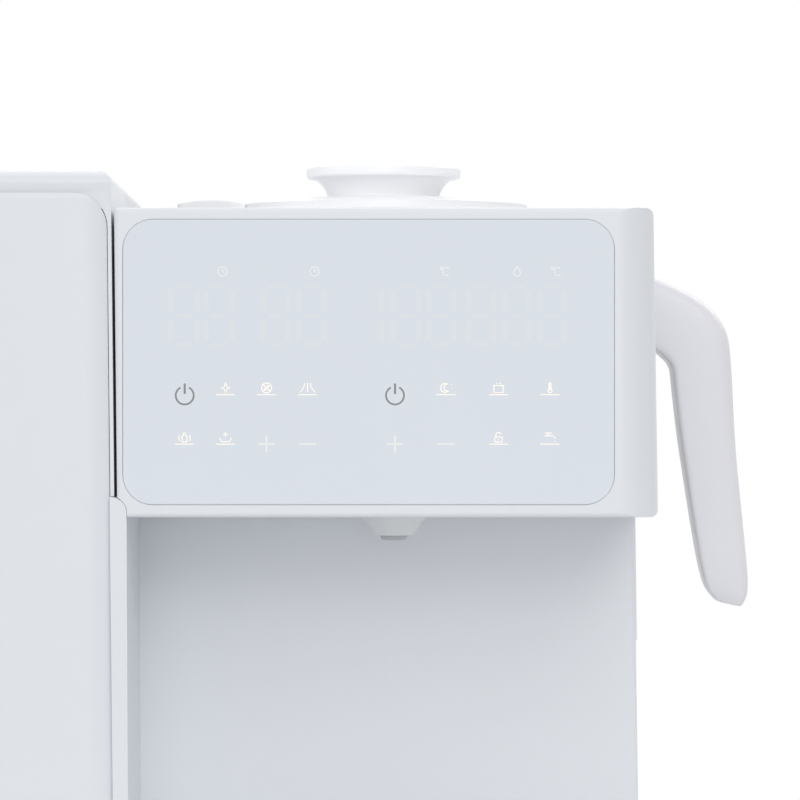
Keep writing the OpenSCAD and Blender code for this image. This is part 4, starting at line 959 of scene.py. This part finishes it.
class Mark(Enum):
    """The signs printed on the touch panel."""

    POWER = "power"
    SPARK = "spark"
    GERM = "germ"
    WARM_AIR = "warm_air"
    NIGHT = "night"
    POT = "pot"
    HEAT = "heat"
    SWIRL = "swirl"
    STORE = "store"
    PLUS = "plus"
    MINUS = "minus"
    LOCK = "lock"
    TAP = "tap"
    CLOCK = "clock"
    DEGREE = "degree"
    DROP = "drop"


def draw_signs() -> dict[Mark, list[Stroke]]:
    """Draw every sign in pixels about its centre, upwards positive.

    Returns:
        The strokes of each sign.
    """
    plain: dict[Mark, list[Stroke]] = {
        Mark.POWER: [ring(0, -2.5, 9, 118, 422), [(0, 9.5), (0, -1)]],
        Mark.PLUS: [[(-8.2, 0), (8.2, 0)], [(0, -8.2), (0, 8.2)]],
        Mark.MINUS: [[(-8.2, 0), (8.2, 0)]],
        Mark.CLOCK: [ring(0, 0, 4.6), [(0, 2.8), (0, 0), (2.2, -1)]],
        Mark.DEGREE: [ring(-3.6, 3.4, 1.3, 0, 360, 10), ring(1.6, 0, 3.9, 50, 310, 16)],
        Mark.DROP: [[(0, 5.2), *ring(0, -1.2, 3.5, 150, 390, 16), (0, 5.2)]],
    }
    underlined: dict[Mark, list[Stroke]] = {
        Mark.SPARK: [
            [
                (0, 6), (1.2, 1.7), (5, 0.5), (1.2, -0.7), (0, -5),
                (-1.2, -0.7), (-5, 0.5), (-1.2, 1.7), (0, 6),
            ],
        ],
        Mark.GERM: [
            ring(0, 0.6, 5),
            [(-3.5, 4.1), (3.5, -2.9)],
            ring(1.6, 2.2, 1, 0, 360, 8),
            ring(-1.6, -1, 1, 0, 360, 8),
        ],
        Mark.WARM_AIR: [
            [(0, 5.5), (0, -3.8)],
            [(-3, 5.5), (-3.6, 1), (-7.5, -3.8)],
            [(3, 5.5), (3.6, 1), (7.5, -3.8)],
        ],
        Mark.NIGHT: [
            ring(-1, 0.6, 4.4, 55, 325, 16),
            ring(1.2, 0.9, 3.4, 85, 285, 12),
            [(4.6, 4), (5.4, 4)],
            [(5.8, 0.2), (6.4, 0.2)],
        ],
        Mark.POT: [
            [(-4.6, 3), (-4.6, -4), (4.6, -4), (4.6, 3)],
            [(-5.6, 3), (5.6, 3)],
            [(-1.6, 5.8), (-1.6, 4.6)],
            [(1.6, 5.8), (1.6, 4.6)],
        ],
        Mark.HEAT: [
            ring(0, -2.2, 2, 120, 420, 12),
            [(-1, -0.5), (-1, 5), (0, 6), (1, 5), (1, -0.5)],
            [(0, -2), (0, 3)],
        ],
        Mark.SWIRL: [
            [(-2.4, -4), (-2.4, 1.4), (-1, 3), (-1, 5), (1, 5), (1, 3), (2.4, 1.4), (2.4, -4), (-2.4, -4)],
            ring(0, 0, 5.6, 150, 210, 6),
            ring(0, 0, 5.6, -30, 30, 6),
        ],
        Mark.STORE: [
            [(-6, 0), (-4, -3.6), (4, -3.6), (6, 0)],
            [(0, 1.2), (0, 6)],
            [(-2.4, 3.6), (2.4, 3.6)],
        ],
        Mark.LOCK: [
            [(-3.8, -4), (-3.8, 1), (3.8, 1), (3.8, -4), (-3.8, -4)],
            [(-2.6, 1), *ring(0, 3, 2.6, 180, 20, 8)],
            [(0, -1), (0, -2.2)],
        ],
        Mark.TAP: [
            [(-5, 5), (1.6, 5)],
            [(-1.8, 5), (-1.8, 2.4)],
            [(-5.2, 2.2), (2.4, 2.2), (5, 0.4), (5, -1)],
            [(5, -3), (5, -3.8)],
        ],
    }
    line: Stroke = [(-9.5, -6.2), (9.5, -6.2)]
    return plain | {mark: [*strokes, line] for mark, strokes in underlined.items()}


@dataclass
class Panel(SubAssembly):
    """The touch panel: its glass, digits and signs, placed by the photograph's pixels at the front plane."""

    corner: float = 12.0
    corner_steps: int = 14
    edge_round: float = 0.5
    front_depth: float = 0.05
    seam: float = 0.18
    print_rise: float = 0.02
    thin: float = 0.46
    bold: float = 0.82
    bolder: float = 1.05
    digit_edges: tuple[Point, ...] = (
        (167.5, 199.5), (203.5, 234.5), (260, 290.5), (296, 326.5), (390, 421),
        (426, 456), (466, 496), (502, 531), (537.5, 567),
    )
    one_edges: Point = (379, 384)
    digit_rows: Triple = (286.5, 315.5, 344.5)
    digit_inset: float = 2.6
    digit_break: float = 4
    digit_margin: float = 7.5
    digit_upright: float = 2.1
    digit_level: float = 1.6
    unit_row: float = 271.5
    upper_row: float = 388.5
    power_row: float = 393
    lower_row: float = 438
    step_row: float = 444

    def glass(self) -> None:
        """Cut the glass with round corners and a ground edge, grown so that its seam is a fine line."""
        low, high = span("control_glass")
        grow = Vector((self.seam, 0, self.seam))
        low, high = low - grow, high + grow
        Bench.clear()
        centre = ((low.x + high.x) / 2 * MM, high.y * MM, (low.z + high.z) / 2 * MM)
        bpy.ops.mesh.primitive_plane_add(size=1, location=centre, rotation=(math.radians(90), 0, 0))
        piece = bpy.context.object
        piece.name = "touch_glass"
        piece.scale = ((high.x - low.x) * MM, (high.z - low.z) * MM, 1)
        bpy.ops.object.transform_apply(location=True, rotation=True, scale=True)
        Bench.edit(piece, "VERT")
        bpy.ops.mesh.select_all(action="SELECT")
        bpy.ops.mesh.bevel(
            offset=self.corner * MM, offset_type="OFFSET", segments=self.corner_steps, affect="VERTICES"
        )
        bpy.ops.mesh.select_all(action="SELECT")
        depth = {"value": (0, (low.y - high.y) * MM, 0)}
        bpy.ops.mesh.extrude_region_move(TRANSFORM_OT_translate=depth)
        bpy.ops.mesh.select_all(action="SELECT")
        bpy.ops.mesh.normals_make_consistent(inside=False)
        bpy.ops.object.mode_set(mode="OBJECT")
        front = (low.y + self.front_depth) * MM
        Bench.round_edges(piece, lambda edge: all(v.co.y < front for v in edge.verts), self.edge_round)
        Bench.close(piece)
        self.fit(piece, Body.CHASSIS, Slot.TOUCH_GLASS, "panel", ["control_glass"])

    def print_on(self, name: str, strokes: Sequence[Inked], finish: str, slot: Slot) -> None:
        """Print strokes on the glass as one thin piece.

        Args:
            name: name of the piece.
            strokes: points in pixels of the photograph, each stroke with its width in millimetres.
            finish: name of the finish.
            slot: the record's slot that the finish follows.
        """
        low, _ = span("control_glass")
        Bench.clear()
        curve = bpy.data.curves.new(name, "CURVE")
        curve.dimensions = "3D"
        curve.bevel_depth = MM
        curve.bevel_resolution = 1
        curve.use_fill_caps = True
        for points, width in strokes:
            spline = curve.splines.new("POLY")
            spline.points.add(len(points) - 1)
            for point, (px, py) in zip(spline.points, points):
                x, z = VIEW.place(px, py)
                point.co = (x * MM, 0, z * MM, 1)
                point.radius = width / 2
        piece = bpy.data.objects.new(name, curve)
        bpy.context.scene.collection.objects.link(piece)
        Bench.take(piece)
        bpy.ops.object.convert(target="MESH")
        Bench.edit(piece, "VERT")
        bpy.ops.mesh.select_all(action="SELECT")
        bpy.ops.transform.resize(value=(1, self.print_rise, 1), center_override=(0, 0, 0))
        bpy.ops.transform.translate(value=(0, low.y * MM, 0))
        bpy.ops.mesh.normals_make_consistent(inside=False)
        Bench.close(piece)
        self.fit(piece, Body.CHASSIS, slot, finish)

    def digit(self, left: float, right: float, only_right: bool = False) -> list[Inked]:
        """Give the seven bars of an unlit digit.

        Args:
            left: left edge in pixels.
            right: right edge in pixels.
            only_right: draw only the two upright bars of a one.

        Returns:
            Strokes with their widths.
        """
        top, mid, foot = self.digit_rows
        end = self.digit_break
        uprights = [right - self.digit_inset]
        if not only_right:
            uprights.insert(0, left + self.digit_inset)
        bars: list[Inked] = []
        for x in uprights:
            bars.append(([(x, top + end), (x, mid - end)], self.digit_upright))
            bars.append(([(x, mid + end), (x, foot - end)], self.digit_upright))
        if not only_right:
            ends = (left + self.digit_margin, right - self.digit_margin)
            bars += [([(x, y) for x in ends], self.digit_level) for y in self.digit_rows]
        return bars

    def marks(self) -> None:
        """Print the unlit digits, the cream signs, the pale steps and units and the two power signs."""
        digits: list[Inked] = []
        for left, right in self.digit_edges:
            digits += self.digit(left, right)
        digits += self.digit(*self.one_edges, True)
        self.print_on("panel_digits", digits, "ghost", Slot.TOUCH_GLASS)
        drawn = draw_signs()

        def row(y: float, width: float, *signs: tuple[Mark, float]) -> list[Inked]:
            """Give the strokes of signs that stand along one row of pixels."""
            return [([(x + a, y - b) for a, b in s], width) for mark, x in signs for s in drawn[mark]]

        first, second, third, fourth = 184.5, 225.5, 266.5, 307.5
        fifth, sixth, seventh, eighth = 395, 446, 498.5, 550
        upper = row(
            self.upper_row, self.thin,
            (Mark.SPARK, second), (Mark.GERM, third), (Mark.WARM_AIR, fourth),
            (Mark.NIGHT, sixth), (Mark.POT, seventh), (Mark.HEAT, eighth),
        )
        lower = row(
            self.lower_row, self.thin,
            (Mark.SWIRL, first), (Mark.STORE, second), (Mark.LOCK, seventh), (Mark.TAP, eighth),
        )
        self.print_on("panel_signs", upper + lower, "cream", Slot.WHITE)
        steps = row(
            self.step_row, self.bold,
            (Mark.PLUS, third), (Mark.MINUS, fourth), (Mark.PLUS, fifth), (Mark.MINUS, sixth),
        )
        units = row(
            self.unit_row, self.thin,
            (Mark.CLOCK, 222.5), (Mark.CLOCK, 314.5),
            (Mark.DEGREE, 445), (Mark.DROP, 517), (Mark.DEGREE, 556.5),
        )
        self.print_on("panel_steps", steps + units, "pale", Slot.WHITE)
        power = row(self.power_row, self.bold * self.bolder, (Mark.POWER, 184.7), (Mark.POWER, fifth))
        self.print_on("panel_power", power, "ink", Slot.DARK)

    def build(self) -> None:
        """Build the glass and its print."""
        self.glass()
        self.marks()


@dataclass
class Kettle(SubAssembly):
    """The lift-off kettle with its lid, knob and handle.

    The knob's drops are measured down from its top: to the crown's rim, to the centres of the rim's two
    rounds, and to where the flare of the neck begins.
    """

    crown_share: float = 0.93
    crown_drop: float = 2.0
    crown_steps: int = 10
    rim_round: float = 1.5
    rim_steps: int = 7
    upper_drop: float = 3.55
    upper_start: float = 82
    lower_drop: float = 5.5
    flare_drop: float = 6.7
    flare_centre: Point = (37.35, 355.2)
    flare_round: float = 13.0
    flare_turn: Point = (118, 164)
    flare_steps: int = 14
    neck: float = 24.85
    neck_foot: float = 358.1
    knob_smooth: float = 40
    quad_turn: float = 60
    quad_skew: float = 70
    handle_levels: int = 2
    handle_smooth: float = 50

    def knob(self) -> None:
        """Turn the knob with a crowned top, a rounded rim and a flared neck."""
        low, high = span("lid_knob")
        axis = ((low.x + high.x) / 2, (low.y + high.y) / 2)
        reach = (high.x - low.x) / 2
        soft = self.rim_round
        parts = [k / self.crown_steps for k in range(self.crown_steps)]
        outline = [(reach * self.crown_share * part, high.z - self.crown_drop * part**2) for part in parts]
        outline += ring(reach - soft, high.z - self.upper_drop, soft, self.upper_start, 0, self.rim_steps)
        outline += ring(reach - soft, high.z - self.lower_drop, soft, 0, -90, self.rim_steps)
        flare = ring(*self.flare_centre, self.flare_round, *self.flare_turn, self.flare_steps)
        outline += [(r, z) for r, z in flare if z < high.z - self.flare_drop]
        outline += [(self.neck, self.neck_foot), (0, self.neck_foot)]
        piece = Bench.turned("knob", axis, outline)
        Bench.close(piece, self.knob_smooth)
        self.fit(piece, Body.LID, Slot.WHITE, "knob", ["lid_knob"])

    def handle(self) -> None:
        """Smooth the handle's lofted skin."""
        piece = Bench.copy_of("kettle_handle", "handle")
        Bench.edit(piece, "FACE")
        bpy.ops.mesh.select_all(action="SELECT")
        bpy.ops.mesh.tris_convert_to_quads(
            face_threshold=math.radians(self.quad_turn), shape_threshold=math.radians(self.quad_skew)
        )
        bpy.ops.object.mode_set(mode="OBJECT")
        smooth = piece.modifiers.new("smooth", "SUBSURF")
        smooth.levels = self.handle_levels
        smooth.render_levels = self.handle_levels
        Bench.take(piece)
        bpy.ops.object.modifier_apply(modifier="smooth")
        Bench.close(piece, self.handle_smooth)
        self.fit(piece, Body.KETTLE, Slot.SHELL, "handle", ["kettle_handle"])

    def build(self) -> None:
        """Build the kettle's pieces and dress its solids."""
        self.dress("lid", "kettle_lid")
        self.dress("collar", "kettle_collar", "kettle_base")
        self.knob()
        self.handle()


def make_finishes() -> dict[str, bpy.types.Material]:
    """Make every finish of the machine once.

    Returns:
        The materials by name.
    """
    kinds = {
        "shell": Plastic("shell_satin", "E5E8ED", 0.3),
        "lid": Plastic("lid_gloss", "F5F6F8", 0.3, grain_mm=0.5, grain=0.05),
        "collar": Plastic("collar_satin", "FAFAFC", 0.3),
        "handle": Plastic("handle_satin", "E8E8ED", 0.34),
        "white": Plastic("white_gloss", "EEEFF2", 0.3, grain_mm=0.5, grain=0.05),
        "knob": Plastic("knob_gloss", "F9FAFC", 0.3, grain_mm=0.5, grain=0.05),
        "spout": Plastic("spout_satin", "E6E8EA", 0.35),
        "steel": Metal("brushed_steel", "C9CBCE", 0.28, streak=(1, 1, 6)),
        "liner": Metal("bright_liner", "D6D8DB", 0.34, streak=(1, 1, 5)),
        "panel": Enamel("panel_enamel", "DEE4EC"),
        "ghost": Enamel("panel_unlit", "E1E6EC"),
        "cream": Backlit("panel_cream", "FCF6EB", glow=0.18),
        "pale": Plastic("panel_pale", "F2F6F5", 0.5),
        "ink": Plastic("panel_ink", "8B8C8F", 0.5),
        "jug_glass": Glass("jug_clear", "F7FAFA"),
        "lamp_glass": Glass("lamp_quartz", "F1F3F8", 0.12),
        "rubber": Rubber("foot_rubber", "3A3B3D"),
        "silicone": Rubber("seal_silicone", "D9DADB", 0.55),
        "grey": Plastic("grey_abs", "B9BBBE", 0.45),
        "dark": Plastic("dark_abs", "2E2F31", 0.45),
        "board": CircuitBoard("lacquered_board", "1F5A3A", track="B98F45"),
        "hose": Rubber("hose_silicone", "E6E9EA", 0.35, see_through=0.35),
    }
    return {name: kind.build() for name, kind in kinds.items()}


def main() -> None:
    """Build every sub-assembly in order and report it."""
    logging.basicConfig(level=logging.INFO, format="%(name)s: %(message)s")
    Stage().build()
    finishes = make_finishes()
    base = SubAssembly(finishes)
    slots = {entry["node"]: entry["material_slot"] for entry in frame["record"]["subparts"]}
    for node in frame["nodes"]:
        kind = slots[node]
        base.dress("panel" if kind == "touch_glass" else kind, node)
    Nozzle(finishes).build()
    Cabinet(finishes).build()
    Panel(finishes).build()
    Kettle(finishes).build()


if __name__ == "__main__":
    main()
